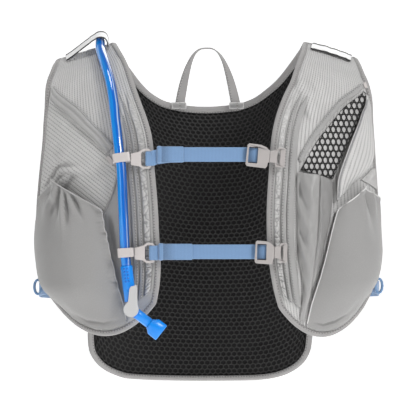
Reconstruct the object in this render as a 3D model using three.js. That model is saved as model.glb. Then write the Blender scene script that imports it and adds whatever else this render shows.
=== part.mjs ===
// Running hydration vest, worn shape. Millimetres, +Z up, front towards -Y.
// The origin lies between the two shoulder rests, where the vest hangs on the wearer.
import * as THREE from 'three';

// ---------- overall form ----------
const HALF_WIDTH = 191;      // centre plane to the widest cloth of a front panel
const FRONT_DROP = 311;      // shoulder rest down to the front hem
const BACK_DROP = 360;       // shoulder rest down to the back hem
const CHEST_DEPTH = 123;     // shoulder ridge forward to the chest
const BACK_DEPTH = 108;      // shoulder ridge back to the shoulder blades
const RIDGE_Y = 6;           // front-to-back place of the shoulder ridge
const RIDGE_TOP = 13;        // ridge height beside the neck
const RIDGE_FALL = 18;       // how far the ridge drops towards the arm
const RIDGE_NECK = 100;      // where the ridge starts to drop, from the centre plane
const RIDGE_ARM = 160;       // where the drop is complete

// ---------- cloth and webbing ----------
const PANEL_T = 3;           // padded front panel
const PAD_T = 5;             // spacer mesh
const SKIN_T = 1.6;          // single cloth layers
const LAYER_GAP = 0.8;       // between cloth layers
const EDGE_GAP = 0.6;        // between a cloth edge and its binding
const BIND_W = 5.6;          // edge binding
const BIND_EXTRA = 0.7;      // binding stands proud of the cloth on both faces
const WEB_W = 15.4;          // chest webbing
const WEB_T = 1.5;
const TAPE_W = 10.5;         // haul loop tape
const TAPE_T = 1.4;
const BAND_W = 21;           // shoulder keeper band
const BAND_T = 1.3;

// ---------- drinking tube and valve ----------
const HOSE_D = 10.8;
const SLEEVE_D = 13;
const FIT = 0.3;             // clearance of hard parts
const VALVE_D = 16.4;        // lever disc
const VALVE_T = 3.2;         // lever thickness
const SPOUT_D = 11;
const BITE_W = 20;           // mouthpiece across
const BITE_T = 12;           // mouthpiece front to back

// ---------- buckles ----------
const BUCKLE_L = 42;
const BUCKLE_H = 24.5;
const BUCKLE_T = 6.5;
const STRAP_OFF = 7.5;        // webbing stands this far in front of the chest form

// ---------- form tables: drop below the ridge and depth, as shares ----------
const FRONT_FORM = [         // [drop / FRONT_DROP, depth / CHEST_DEPTH]
  [0.000, 0.000], [0.026, 0.179], [0.064, 0.374], [0.129, 0.618], [0.209, 0.805], [0.322, 0.943],
  [0.418, 1.000], [0.643, 1.016], [0.836, 0.976], [1.061, 0.894], [1.286, 0.854],
];
const BACK_FORM = [          // [drop / BACK_DROP, depth / BACK_DEPTH]
  [0.000, 0.000], [0.022, 0.190], [0.069, 0.430], [0.160, 0.720], [0.300, 0.940],
  [0.540, 1.000], [0.800, 0.930], [1.100, 0.860],
];

// ---------- cloth edges of the front panels, seen from the front ----------
// [inner x, inner z, outer x, outer z, extra sag of the middle]; x / HALF_WIDTH, z and sag / FRONT_DROP
const HOSE_SIDE = [
  [0.328, -0.872, 0.841, -0.883, -0.194],   // hem
  [0.311, -0.809, 0.913, -0.827, -0.115],
  [0.305, -0.736, 0.963, -0.750, -0.063],
  [0.313, -0.653, 0.975, -0.662, -0.028],   // waist
  [0.322, -0.538, 0.969, -0.549, -0.010],
  [0.339, -0.417, 0.950, -0.428, 0.000],
  [0.351, -0.319, 0.930, -0.319, 0.000],    // chest
  [0.380, -0.249, 0.923, -0.244, 0.000],
  [0.421, -0.182, 0.914, -0.177, 0.000],
  [0.460, -0.117, 0.906, -0.116, 0.000],
  [0.501, -0.047, 0.884, -0.068, 0.000],
  [0.545, 0.003, 0.868, -0.034, 0.000],
  [0.577, 0.036, 0.853, -0.012, 0.000],     // ridge
];
const PHONE_SIDE = [
  [0.422, -0.886, 0.865, -0.883, -0.188],
  [0.396, -0.827, 0.916, -0.824, -0.115],
  [0.376, -0.757, 0.950, -0.750, -0.063],
  [0.359, -0.660, 0.956, -0.662, -0.028],
  [0.358, -0.538, 0.950, -0.542, -0.010],
  [0.370, -0.420, 0.935, -0.421, 0.000],
  [0.382, -0.323, 0.924, -0.319, 0.000],
  [0.406, -0.246, 0.916, -0.244, 0.000],
  [0.447, -0.175, 0.911, -0.180, 0.000],
  [0.498, -0.110, 0.894, -0.124, 0.000],
  [0.532, -0.050, 0.868, -0.079, 0.000],
  [0.562, -0.004, 0.850, -0.041, 0.000],
  [0.578, 0.034, 0.833, -0.014, 0.000],
];

// ---------- cloth edges of the back, x / HALF_WIDTH, z / BACK_DROP ----------
const NECK_EDGE = [          // [x, z] left to right
  [-0.577, 0.030], [-0.545, -0.004], [-0.487, -0.048], [-0.434, -0.086], [-0.378, -0.117], [-0.320, -0.138], [-0.260, -0.152],
  [-0.140, -0.164], [-0.010, -0.168], [0.120, -0.163],
  [0.188, -0.158], [0.285, -0.139], [0.362, -0.110], [0.433, -0.076], [0.507, -0.026], [0.552, 0.006], [0.578, 0.030],
];
const HEM_EDGE = [
  [-0.639, -0.890], [-0.627, -0.928], [-0.575, -0.964], [-0.492, -0.988], [-0.401, -0.999],
  [-0.147, -1.005], [0.093, -1.006], [0.333, -1.003], [0.453, -0.994],
  [0.533, -0.978], [0.593, -0.954], [0.628, -0.922], [0.639, -0.885],
];
const SIDE_EDGE = [          // [half width, z] from the hem corner up the arm hole to the ridge
  [0.639, -0.888], [0.655, -0.791], [0.672, -0.693], [0.680, -0.596], [0.676, -0.499],
  [0.665, -0.401], [0.655, -0.304], [0.668, -0.207], [0.730, -0.109], [0.845, -0.012],
];
const BACK_LEAN = -0.053;    // the hem hangs this far to the hose side, / HALF_WIDTH

// ---------- small maths ----------
const V = (x, y, z) => new THREE.Vector3(x, y, z);
const mix = (a, b, t) => a + (b - a) * t;
const clamp = (t, a = 0, b = 1) => Math.min(b, Math.max(a, t));
const smooth = (t) => { const c = clamp(t); return c * c * (3 - 2 * c); };
// smooth curve through the rows of a table; t runs 0..1 over equal steps
function rowAt(table, t) {
  const n = table.length - 1, f = clamp(t) * n, i = Math.min(n - 1, Math.floor(f)), w = f - i;
  const at = (k) => table[clamp(k, 0, n)];
  const [a, b, c, d] = [at(i - 1), at(i), at(i + 1), at(i + 2)];
  return b.map((_, k) => 0.5 * (2 * b[k] + (c[k] - a[k]) * w
    + (2 * a[k] - 5 * b[k] + 4 * c[k] - d[k]) * w * w + (3 * b[k] - a[k] - 3 * c[k] + d[k]) * w ** 3));
}
// smooth one-to-one reading of a two-column table
function curveAt(table, x) {
  let i = 0;
  while (i < table.length - 2 && x > table[i + 1][0]) i++;
  const slope = (k) => {
    const a = table[Math.max(0, k - 1)], b = table[Math.min(table.length - 1, k + 1)];
    return (b[1] - a[1]) / (b[0] - a[0]);
  };
  const [x0, y0] = table[i], [x1, y1] = table[i + 1], h = x1 - x0, t = clamp((x - x0) / h);
  return (1 + 2 * t) * (1 - t) ** 2 * y0 + t * (1 - t) ** 2 * h * slope(i)
    + t * t * (3 - 2 * t) * y1 + t * t * (t - 1) * h * slope(i + 1);
}

// ---------- wearer's form ----------
const ridge = (x) => RIDGE_TOP - RIDGE_FALL * clamp((Math.abs(x) - RIDGE_NECK) / (RIDGE_ARM - RIDGE_NECK), 0, 1.1);
function frontY(x, z) {
  const drop = Math.max(0, ridge(x) - z);
  const round = Math.sqrt(1 - Math.min(0.98, Math.abs(x) / (HALF_WIDTH * 1.03)) ** 2.4);
  return RIDGE_Y - CHEST_DEPTH * curveAt(FRONT_FORM, drop / FRONT_DROP) * mix(1, round, smooth(drop / (0.2 * FRONT_DROP)));
}
function backY(x, z) {
  const drop = Math.max(0, ridge(x) - z);
  const flat = 1 - 0.28 * (x / (0.75 * HALF_WIDTH)) ** 2 * smooth(drop / (0.25 * BACK_DROP));
  return RIDGE_Y + 2 * LAYER_GAP + BACK_DEPTH * curveAt(BACK_FORM, drop / BACK_DROP) * flat;
}

// ---------- bodies ----------
// closed body from rings of equal length; flat rings run out along one face and back along the other
function skin(rings, { loop = false, flat = false } = {}) {
  const m = rings[0].length, n = rings.length, pos = [], idx = [];
  for (const r of rings) for (const p of r) pos.push(p.x, p.y, p.z);
  const quad = (a, b, c, d) => idx.push(a, b, c, a, c, d);
  for (let j = 0; j < (loop ? n : n - 1); j++) {
    const k = ((j + 1) % n) * m, i0 = j * m;
    for (let i = 0; i < m; i++) {
      const q = [i0 + i, i0 + (i + 1) % m, k + (i + 1) % m, k + i];
      // both faces of a sheet are split along the same diagonal
      if (flat && i >= m / 2) idx.push(q[0], q[1], q[3], q[1], q[2], q[3]);
      else quad(...q);
    }
  }
  if (!loop) {
    for (const [o, flip] of [[0, true], [(n - 1) * m, false]]) {
      if (flat) {
        for (let i = 0; i < m / 2 - 1; i++) {
          const q = [o + i, o + i + 1, o + m - 2 - i, o + m - 1 - i];
          if (flip) q.reverse();
          quad(...q);
        }
      } else {
        for (let i = 1; i < m - 1; i++) idx.push(...(flip ? [o, o + i + 1, o + i] : [o, o + i, o + i + 1]));
      }
    }
  }
  const g = new THREE.BufferGeometry();
  g.setAttribute('position', new THREE.Float32BufferAttribute(pos, 3));
  let vol = 0;
  const P = (i) => V(pos[3 * i], pos[3 * i + 1], pos[3 * i + 2]);
  for (let i = 0; i < idx.length; i += 3) vol += P(idx[i]).dot(P(idx[i + 1]).cross(P(idx[i + 2])));
  if (vol < 0) for (let i = 0; i < idx.length; i += 3) [idx[i], idx[i + 1]] = [idx[i + 1], idx[i]];
  g.setIndex(idx);
  g.computeVertexNormals();
  return g;
}
// ring of a cloth sheet: outer face forwards, inner face back
const sheetRing = (outer, inner) => [...outer, ...inner.slice().reverse()];
// extruded plate: outline [x, z] pairs, holes the same; thickness along +Y from y0
function plate(outline, holes, y0, thick) {
  const s = new THREE.Shape(outline.map(([x, z]) => new THREE.Vector2(x, z)));
  for (const h of holes) s.holes.push(new THREE.Path(h.map(([x, z]) => new THREE.Vector2(x, z))));
  const g = new THREE.ExtrudeGeometry(s, { depth: thick, bevelEnabled: false, curveSegments: 6 });
  g.rotateX(Math.PI / 2);
  g.translate(0, y0 + thick, 0);
  return g;
}
const round = (cx, cz, r, n = 16, a0 = 0, a1 = 2 * Math.PI) => Array.from({ length: n }, (_, i) => {
  const a = mix(a0, a1, a1 - a0 > 6.2 ? i / n : i / (n - 1));
  return [cx + r * Math.cos(a), cz + r * Math.sin(a)];
});
function softBox(x0, z0, x1, z1, r, n = 3) {
  const out = [];
  for (const [cx, cz, a] of [[x1 - r, z1 - r, 0], [x0 + r, z1 - r, 1], [x0 + r, z0 + r, 2], [x1 - r, z0 + r, 3]])
    out.push(...round(cx, cz, r, n, a * Math.PI / 2, (a + 1) * Math.PI / 2));
  return out;
}

// ---------- lattices ----------
function makeLattice(cols, rows, pointAt, outward) {
  const p = [], n = [];
  for (let j = 0; j <= rows; j++) p.push(Array.from({ length: cols + 1 }, (_, i) => pointAt(i / cols, j / rows)));
  for (let j = 0; j <= rows; j++) n.push(p[j].map(() => V(0, 0, 0)));
  for (let j = 0; j < rows; j++) for (let i = 0; i < cols; i++) {
    const f = p[j][i + 1].clone().sub(p[j + 1][i]).cross(p[j + 1][i + 1].clone().sub(p[j][i]));
    if (f.dot(outward(p[j][i])) < 0) f.negate();
    for (const [a, b] of [[j, i], [j, i + 1], [j + 1, i], [j + 1, i + 1]]) n[a][b].add(f);
  }
  for (const r of n) for (const q of r) q.normalize();
  const at = (u, v, off = 0) => {
    const fu = clamp(u) * cols, fv = clamp(v) * rows, i = Math.min(cols - 1, Math.floor(fu)), j = Math.min(rows - 1, Math.floor(fv));
    const a = fu - i, b = fv - j;
    const blend = (g) => g[j][i].clone().lerp(g[j][i + 1], a).lerp(g[j + 1][i].clone().lerp(g[j + 1][i + 1], a), b);
    return blend(p).addScaledVector(blend(n).normalize(), off);
  };
  return { cols, rows, p, n, at };
}
// whole-lattice cloth between two offsets
function clothOf(lat, low, high) {
  const rings = lat.p.map((row, j) => sheetRing(
    row.map((q, i) => q.clone().addScaledVector(lat.n[j][i], high)),
    row.map((q, i) => q.clone().addScaledVector(lat.n[j][i], low))));
  return skin(rings, { flat: true });
}
// binding beside a run of lattice edge points [j, i]; low and high are the cloth's faces
function bindingOf(lat, run, low, high, width) {
  const P = run.map(([j, i]) => lat.p[j][i]), N = run.map(([j, i]) => lat.n[j][i]);
  const mid = lat.p[Math.floor(lat.rows / 2)][Math.floor(lat.cols / 2)];
  let side = 0;
  const out = P.map((q, k) => {
    const t = P[Math.min(P.length - 1, k + 1)].clone().sub(P[Math.max(0, k - 1)]);
    return t.cross(N[k]).normalize();
  });
  P.forEach((q, k) => { side += out[k].dot(q.clone().sub(mid)); });
  if (side < 0) out.forEach((o) => o.negate());
  const c = (low + high) / 2, h = (high - low) / 2 + BIND_EXTRA;
  const prof = [[EDGE_GAP, -h], [EDGE_GAP, h], [EDGE_GAP + width * 0.75, h * 0.92], [EDGE_GAP + width, 0], [EDGE_GAP + width * 0.75, -h * 0.92]];
  return skin(P.map((q, k) => prof.map(([a, b]) => q.clone().addScaledVector(out[k], a).addScaledVector(N[k], c + b))));
}

// front panel: inner edge u = 0, outer edge u = 1, hem v = 0, ridge v = 1
function frontLattice(table, side) {
  return makeLattice(9, 22, (u, v) => {
    const [xi, zi, xo, zo, sag] = rowAt(table, v);
    const s = 1 - (1 - u) ** 1.2;
    const x = side * HALF_WIDTH * mix(xi, xo, s);
    const z = FRONT_DROP * (mix(zi, zo, s) + 2 * sag * s * (1 - s));
    return V(x, frontY(x, z), z);
  }, (q) => V(q.x, q.y, 0.25 * FRONT_DROP + q.z > 0 ? 60 : 0));
}
// finds the lattice place behind a point of the front view (x and z as shares)
function place(lat, side, xs, zs) {
  const x = side * HALF_WIDTH * xs, z = FRONT_DROP * zs;
  let best = [0, 0, Infinity];
  for (let j = 0; j <= 44; j++) for (let i = 0; i <= 36; i++) {
    const q = lat.at(i / 36, j / 44), d = Math.hypot(q.x - x, q.z - z);
    if (d < best[2]) best = [i / 36, j / 44, d];
  }
  let [u, v, d] = best, step = 0.02;
  while (step > 1e-5) {
    let moved = false;
    for (const [a, b] of [[step, 0], [-step, 0], [0, step], [0, -step]]) {
      const nu = clamp(u + a), nv = clamp(v + b), q = lat.at(nu, nv), e = Math.hypot(q.x - x, q.z - z);
      if (e < d - 1e-9) { [u, v, d] = [nu, nv, e]; moved = true; }
    }
    if (!moved) step /= 2;
  }
  return [u, v];
}
// patch on a lattice; rows bottom to top of [u, v] points, read smoothly along and straight across
function patchGrid(lat, rows, cols, steps, offAt) {
  const grid = [];
  for (let j = 0; j <= steps; j++) {
    const t = j / steps, flatRow = rowAt(rows.map((r) => r.flat()), t), n = flatRow.length / 2 - 1;
    grid.push(Array.from({ length: cols + 1 }, (_, i) => {
      const s = i / cols, f = s * n, k = Math.min(n - 1, Math.floor(f)), w = f - k;
      const u = mix(flatRow[2 * k], flatRow[2 * k + 2], w), v = mix(flatRow[2 * k + 1], flatRow[2 * k + 3], w);
      return lat.at(u, v, offAt(s, t));
    }));
  }
  return grid;
}
function patchCloth(lat, rows, cols, steps, lift, thick) {
  const low = patchGrid(lat, rows, cols, steps, lift), high = patchGrid(lat, rows, cols, steps, (s, t) => lift(s, t) + thick);
  return skin(high.map((r, j) => sheetRing(r, low[j])), { flat: true });
}
// ribbon along points: width direction per point
function ribbon(points, widthDir, width, thick) {
  const n = points.length;
  return skin(points.map((p, k) => {
    const t = points[Math.min(n - 1, k + 1)].clone().sub(points[Math.max(0, k - 1)]).normalize();
    const w = widthDir(k / (n - 1)).clone().addScaledVector(t, -widthDir(k / (n - 1)).dot(t)).normalize();
    const h = t.clone().cross(w).normalize();
    const wk = typeof width === 'function' ? width(k / (n - 1)) : width;
    return [[-1, -1], [1, -1], [1, 1], [-1, 1]].map(([a, b]) => p.clone().addScaledVector(w, a * wk / 2).addScaledVector(h, b * thick / 2));
  }));
}
const curve = (pts, n) => new THREE.CatmullRomCurve3(pts, false, 'centripetal').getSpacedPoints(n);

// ---------- looks of each material ----------
const paint = (color, roughness, metalness = 0) => new THREE.MeshStandardMaterial({ color, roughness, metalness });
const MAT = {
  ribbed: paint(0xb9b8b6, 0.85), stretch: paint(0xa9a8a5, 0.9), nylon: paint(0xa8a7a5, 0.45), trim: paint(0xa3a29f, 0.8),
  mesh: paint(0x1a1a1a, 0.9), net: paint(0x222222, 0.8), band: paint(0xe9e9e9, 0.6), webbing: paint(0x7a9ecc, 0.8),
  hose: paint(0x0070d8, 0.15), valve: paint(0x0093f0, 0.35), lever: paint(0xc8c8c8, 0.5), plastic: paint(0xdedad8, 0.45),
};
const vest = new THREE.Group();
vest.name = 'running_hydration_vest';
function add(name, geometry, material) {
  const m = new THREE.Mesh(geometry, material);
  m.name = name;
  vest.add(m);
  return m;
}
const span = (n) => Array.from({ length: n }, (_, i) => i);

// ---------- front panels ----------
const SIDES = {
  left: { sign: -1, table: HOSE_SIDE, ribs: [['gathered_band', 0.030, 0.034, 1.2], ['inner_rib', 0.069, 0.020, 1.2], ['outer_rib', 0.101, 0.022, 1.2]] },
  right: { sign: 1, table: PHONE_SIDE, ribs: [['gathered_band', 0.022, 0.030, 1.2], ['inner_rib', 0.056, 0.018, 1.2], ['outer_rib', 0.096, 0.036, 1.2]] },
};
const RIB_ENDS = [0.06, 0.70];   // lattice heights between which the strips run
const TOP = PANEL_T + LAYER_GAP; // underside of whatever lies on a panel
const onPanel = (S, rows) => rows.map((r) => r.map(([x, z]) => place(S.lat, S.sign, x, z)));
for (const [key, S] of Object.entries(SIDES)) {
  S.lat = frontLattice(S.table, S.sign);
  const { lat } = S, R = lat.rows, C = lat.cols;
  add(`${key}_front_panel`, clothOf(lat, 0, PANEL_T), MAT.ribbed);
  const run = [...span(R + 1).map((j) => [R - j, 0]), ...span(C - 1).map((i) => [0, i + 1]), ...span(R + 1).map((j) => [j, C])];
  add(`${key}_panel_binding`, bindingOf(lat, run, 0, PANEL_T, BIND_W), MAT.trim);
  // strips beside the inner edge, [name, distance from it / HALF_WIDTH, width / HALF_WIDTH, thickness]
  for (const [name, dist, width, thick] of S.ribs) {
    const rings = span(13).map((k) => {
      const v = mix(...RIB_ENDS, k / 12), [xi, , xo] = rowAt(S.table, v), w = xo - xi;
      const uOf = (d) => 1 - (1 - clamp(d / w)) ** (1 / 1.2);
      const [a, b] = [uOf(dist - width / 2), uOf(dist + width / 2)];
      return sheetRing([lat.at(a, v, TOP + thick), lat.at(b, v, TOP + thick)], [lat.at(a, v, TOP), lat.at(b, v, TOP)]);
    });
    add(`${key}_${name}`, skin(rings), name === 'gathered_band' ? MAT.nylon : MAT.trim);
  }
}
const { left: LEFT, right: RIGHT } = SIDES;

// ---------- pockets of the front panels: rows bottom to top, [x / HALF_WIDTH, z / FRONT_DROP] ----------
const LEFT_POUCH = [
  [[0.459, -0.938], [0.637, -0.961], [0.817, -0.921]],
  [[0.493, -0.827], [0.700, -0.853], [0.900, -0.844]],
  [[0.532, -0.723], [0.740, -0.737], [0.949, -0.739]],
  [[0.560, -0.639], [0.780, -0.619], [0.962, -0.648]],
  [[0.589, -0.552], [0.834, -0.450], [0.940, -0.513]],
];
const RIGHT_POUCH = [
  [[0.546, -0.952], [0.697, -0.970], [0.841, -0.921]],
  [[0.592, -0.831], [0.752, -0.843], [0.900, -0.830]],
  [[0.641, -0.716], [0.804, -0.724], [0.943, -0.725]],
  [[0.681, -0.611], [0.822, -0.598], [0.949, -0.612]],
  [[0.710, -0.552], [0.828, -0.475], [0.955, -0.513]],
];
const FLASK_POCKET = [
  [[0.508, -0.930], [0.520, -0.934], [0.532, -0.938]],
  [[0.528, -0.834], [0.554, -0.834], [0.578, -0.831]],
  [[0.499, -0.715], [0.563, -0.716], [0.627, -0.712]],
  [[0.492, -0.573], [0.578, -0.570], [0.677, -0.570]],
  [[0.492, -0.430], [0.583, -0.437], [0.688, -0.461]],
];
const NET_LINING = [         // [flap side, zip side] bottom to top
  [[0.512, -0.418], [0.690, -0.448]],
  [[0.583, -0.340], [0.765, -0.345]],
  [[0.683, -0.258], [0.826, -0.267]],
  [[0.783, -0.188], [0.862, -0.209]],
  [[0.880, -0.140], [0.892, -0.146]],
];
const FLAP_EDGE = [          // [upper side, lower side] bottom to top
  [[0.500, -0.378], [0.514, -0.392]],
  [[0.555, -0.315], [0.573, -0.329]],
  [[0.655, -0.232], [0.673, -0.247]],
  [[0.755, -0.164], [0.772, -0.178]],
  [[0.862, -0.118], [0.878, -0.128]],
];
const POCKET_COVER = [       // [zip edge, outer edge] bottom to top
  [[0.706, -0.520], [0.806, -0.462]],
  [[0.726, -0.444], [0.903, -0.400]],
  [[0.790, -0.345], [0.925, -0.351]],
  [[0.850, -0.271], [0.925, -0.280]],
  [[0.886, -0.210], [0.922, -0.212]],
  [[0.903, -0.150], [0.915, -0.152]],
];
const CORNER_TAB = [         // cloth corner over the pouch's outer top
  [[0.855, -0.450], [0.945, -0.482]],
  [[0.914, -0.414], [0.945, -0.410]],
];
const ZIP_FLAP = [           // [lower edge, upper edge] outer to inner end
  [[0.895, -0.165], [0.890, -0.124]],
  [[0.778, -0.239], [0.750, -0.197]],
  [[0.660, -0.308], [0.625, -0.276]],
  [[0.575, -0.361], [0.535, -0.336]],
];
const POUCH_BULGE = 24, FLASK_BULGE = 12, COVER_LIFT = 9;
// stretch pouch: full belly, seams shut all round but for the mouth between its inner corner and its peak
const pouchLift = (bulge) => (s, t) => {
  const belly = Math.sin(Math.PI * clamp(0.04 + 0.92 * s)) ** 0.8 * smooth(t / 0.38 + 0.05);
  const closed = smooth((s - 0.42) / 0.25) * smooth((t - 0.55) / 0.45);
  return TOP + bulge * (belly - 0.13) * (1 - closed) * mix(1, 0.62, smooth((t - 0.5) / 0.5)) + bulge * 0.13;
};
const flaskLift = (s, t) => TOP + 0.4 + FLASK_BULGE * Math.sin(Math.PI * s) ** 0.7 * smooth(t / 0.5);
const coverLift = (s, t) => TOP + 0.4 + COVER_LIFT * (1 - s) ** 0.8 * Math.sin(Math.PI * mix(0.16, 0.98, t)) ** 0.6;
const flatLift = () => TOP;
add('left_stretch_pouch', patchCloth(LEFT.lat, onPanel(LEFT, LEFT_POUCH), 10, 9, pouchLift(POUCH_BULGE), SKIN_T), MAT.stretch);
add('right_stretch_pouch', patchCloth(RIGHT.lat, onPanel(RIGHT, RIGHT_POUCH), 10, 9, pouchLift(POUCH_BULGE), SKIN_T), MAT.stretch);
add('flask_pocket', patchCloth(RIGHT.lat, onPanel(RIGHT, FLASK_POCKET), 6, 8, flaskLift, SKIN_T), MAT.nylon);
add('net_lining', patchCloth(RIGHT.lat, onPanel(RIGHT, NET_LINING), 4, 8, (s, t) => TOP + 0.3, 1), MAT.net);
add('flap_edge', patchCloth(RIGHT.lat, onPanel(RIGHT, FLAP_EDGE), 1, 8, flatLift, SKIN_T), MAT.trim);
add('pocket_cover', patchCloth(RIGHT.lat, onPanel(RIGHT, POCKET_COVER), 4, 9, coverLift, SKIN_T), MAT.ribbed);
add('corner_tab', patchCloth(RIGHT.lat, onPanel(RIGHT, CORNER_TAB), 3, 3, flatLift, SKIN_T), MAT.nylon);
add('zip_flap', patchCloth(LEFT.lat, onPanel(LEFT, ZIP_FLAP), 2, 7, flatLift, SKIN_T), MAT.ribbed);
// zip pulls: flat tabs lying on the panel, [from, to] and half width
function pull(name, S, from, to, half, lift, mat) {
  const ends = [from, to].map(([x, z]) => S.lat.at(...place(S.lat, S.sign, x, z), lift));
  const across = ends[1].clone().sub(ends[0]).cross(V(0, -1, 0)).normalize();
  add(name, ribbon(ends, () => across, 2 * half, SKIN_T), mat);
}
pull('left_zip_pull', LEFT, [0.566, -0.372], [0.534, -0.398], 2.2, TOP + 1.25, MAT.plastic);
pull('left_zip_cord', LEFT, [0.530, -0.402], [0.517, -0.424], 1.1, TOP + 1.0, MAT.band);
pull('right_zip_pull', RIGHT, [0.905, -0.128], [0.942, -0.104], 1.6, TOP + 1.3, MAT.plastic);

// ---------- back ----------
const BACK_COLS = 16, BACK_ROWS = 12, RIDGE_COLS = 2;
const RIDGE_TIP = SIDE_EDGE[SIDE_EDGE.length - 1];
// top edge: ridge, neck line, ridge
function topEdge(u) {
  const cut = RIDGE_COLS / BACK_COLS, tip = (side) => [side * RIDGE_TIP[0], RIDGE_TIP[1]];
  const blend = (p, q, w) => [mix(p[0], q[0], w), mix(p[1], q[1], w)];
  if (u < cut) return blend(tip(-1), rowAt(NECK_EDGE, 0), u / cut);
  if (u > 1 - cut) return blend(tip(1), rowAt(NECK_EDGE, 1), (1 - u) / cut);
  return rowAt(NECK_EDGE, (u - cut) / (1 - 2 * cut));
}
const backLat = makeLattice(BACK_COLS, BACK_ROWS, (u, w) => {
  const v = 1 - (1 - w) ** 1.35, T = topEdge(u), B = rowAt(HEM_EDGE, u), side = rowAt(SIDE_EDGE, v)[0];
  const share = mix(B[0] / SIDE_EDGE[0][0], T[0] / RIDGE_TIP[0], v);
  const x = HALF_WIDTH * (side * share + BACK_LEAN * (1 - v) ** 1.5);
  const z = BACK_DROP * mix(B[1], T[1], v);
  return V(x, backY(x, z), z);
}, (q) => V(0, Math.max(q.y, 10), q.z > -0.2 * BACK_DROP ? 60 : 0));
const SHELL_LOW = 0.5, SHELL_HIGH = SHELL_LOW + SKIN_T;
add('back_mesh', clothOf(backLat, -PAD_T, 0), MAT.mesh);
add('back_shell', clothOf(backLat, SHELL_LOW, SHELL_HIGH), MAT.ribbed);
const neckRun = span(BACK_COLS - 2 * RIDGE_COLS + 1).map((i) => [BACK_ROWS, i + RIDGE_COLS]);
const hemRun = [...span(BACK_ROWS).map((j) => [BACK_ROWS - j, 0]), ...span(BACK_COLS + 1).map((i) => [0, i]), ...span(BACK_ROWS).map((j) => [j + 1, BACK_COLS])];
add('back_neck_binding', bindingOf(backLat, neckRun, -PAD_T, SHELL_HIGH, BIND_W), MAT.trim);
add('back_hem_binding', bindingOf(backLat, hemRun, -PAD_T, SHELL_HIGH, BIND_W), MAT.trim);
const SLEEVE_ROWS = [        // lattice places bottom to top
  [[0.14, 0.06], [0.50, 0.05], [0.86, 0.06]],
  [[0.13, 0.40], [0.50, 0.40], [0.87, 0.40]],
  [[0.22, 0.70], [0.50, 0.73], [0.78, 0.70]],
];
const SLEEVE_DEPTH = 24;
add('reservoir_sleeve', patchCloth(backLat, SLEEVE_ROWS, 10, 8,
  (s, t) => SHELL_HIGH + 1.5 * LAYER_GAP + SLEEVE_DEPTH * Math.sin(Math.PI * s) ** 0.6 * smooth(t / 0.3) * mix(1, 0.85, t), SKIN_T), MAT.ribbed);

// haul loop over the back of the neck, its ends flat on the neck binding under the tacks
const TACK_Z = -0.150 * BACK_DROP, LOOP_GAP = 0.3;
const LOOP_BASE = [[-0.178, -0.158], [0.164, -0.158]], LOOP_TOP = [-0.006, 0.033];
const LOOP_Y = backY(0.17 * HALF_WIDTH, TACK_Z) - PAD_T - 3.4;
{
  const [a, b] = LOOP_BASE.map(([x, z]) => V(x * HALF_WIDTH, 0, z * BACK_DROP));
  const yb = LOOP_Y;
  const pts = span(25).map((k) => {
    const w = k / 24, c = 2 * w - 1, lift = 1 - Math.abs(c) ** 2.3;
    return V(mix(a.x, b.x, 0.5 + 0.5 * Math.sign(c) * Math.abs(c) ** 0.82) + LOOP_TOP[0] * HALF_WIDTH * (1 - c * c),
      yb + 10 * lift, mix(a.z, LOOP_TOP[1] * BACK_DROP, lift));
  });
  add('haul_loop', ribbon(pts, (w) => V(Math.cos(Math.PI * Math.sin(Math.PI * w) / 2), Math.sin(Math.PI * Math.sin(Math.PI * w) / 2), 0), TAPE_W, TAPE_T), MAT.trim);
}

// bar tacks that hold the loop's ends on the neck binding
for (const [name, [x]] of [['left_loop_tack', LOOP_BASE[0]], ['right_loop_tack', LOOP_BASE[1]]]) {
  const cx = x * HALF_WIDTH, cz = TACK_Z;
  add(name, plate(softBox(cx - 8, cz - 3.4, cx + 8, cz + 3.4, 1.2, 2), [], LOOP_Y - TAPE_T / 2 - LOOP_GAP - TAPE_T, TAPE_T), MAT.trim);
}

// ---------- drinking tube ----------
const HOSE_R = HOSE_D / 2;
// front run: [x / HALF_WIDTH, z / FRONT_DROP, height above the panel's inner face]
const HOSE_FRONT = [
  [0.447, -0.744, 15.2], [0.454, -0.698, 14.4], [0.464, -0.556, 14.0], [0.475, -0.407, 14.0], [0.483, -0.372, 14.0], [0.507, -0.267, 12.4],
  [0.541, -0.140, 10.6], [0.580, -0.070, 9.8], [0.615, -0.012, 9.4],
];
// over the ridge and down the back into the sleeve: [x, z] on the back, height above its shell
const HOSE_BACK = [
  [-0.622, -0.004, 9.6], [-0.560, -0.080, 9.6], [-0.440, -0.160, 9.6], [-0.300, -0.225, 9.6], [-0.200, -0.300, 10.5], [-0.140, -0.440, 12.0],
];
const hoseFrontPts = HOSE_FRONT.map(([x, z, h]) => LEFT.lat.at(...place(LEFT.lat, -1, x, z), h));
const hoseBackPts = HOSE_BACK.map(([x, z, h]) => {
  const X = x * HALF_WIDTH, Z = z * BACK_DROP, e = 2;
  const n = V(e, backY(X + e, Z) - backY(X, Z), 0).cross(V(0, backY(X, Z + e) - backY(X, Z), e)).normalize();
  if (n.y < 0) n.negate();
  return V(X, backY(X, Z), Z).addScaledVector(n, h);
});
const ridgeTop = V(-0.634 * HALF_WIDTH, RIDGE_Y - 4, ridge(0.634 * HALF_WIDTH) + PANEL_T + LAYER_GAP + HOSE_R + 1.6);
const hosePath = curve([...hoseFrontPts, ridgeTop, ...hoseBackPts], 52);
const ringAt = (c, t, side, rx, ry, n) => {
  const w = side.clone().addScaledVector(t, -side.dot(t)).normalize(), h = t.clone().cross(w);
  return span(n).map((i) => c.clone().addScaledVector(w, rx * Math.cos(2 * Math.PI * i / n)).addScaledVector(h, ry * Math.sin(2 * Math.PI * i / n)));
};
const tangentAt = (P, k) => P[Math.min(P.length - 1, k + 1)].clone().sub(P[Math.max(0, k - 1)]).normalize();
add('drinking_hose', skin(hosePath.map((c, k) => ringAt(c, tangentAt(hosePath, k), V(1, 0.2, 0), HOSE_R, HOSE_R, 8))), MAT.hose);

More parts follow.
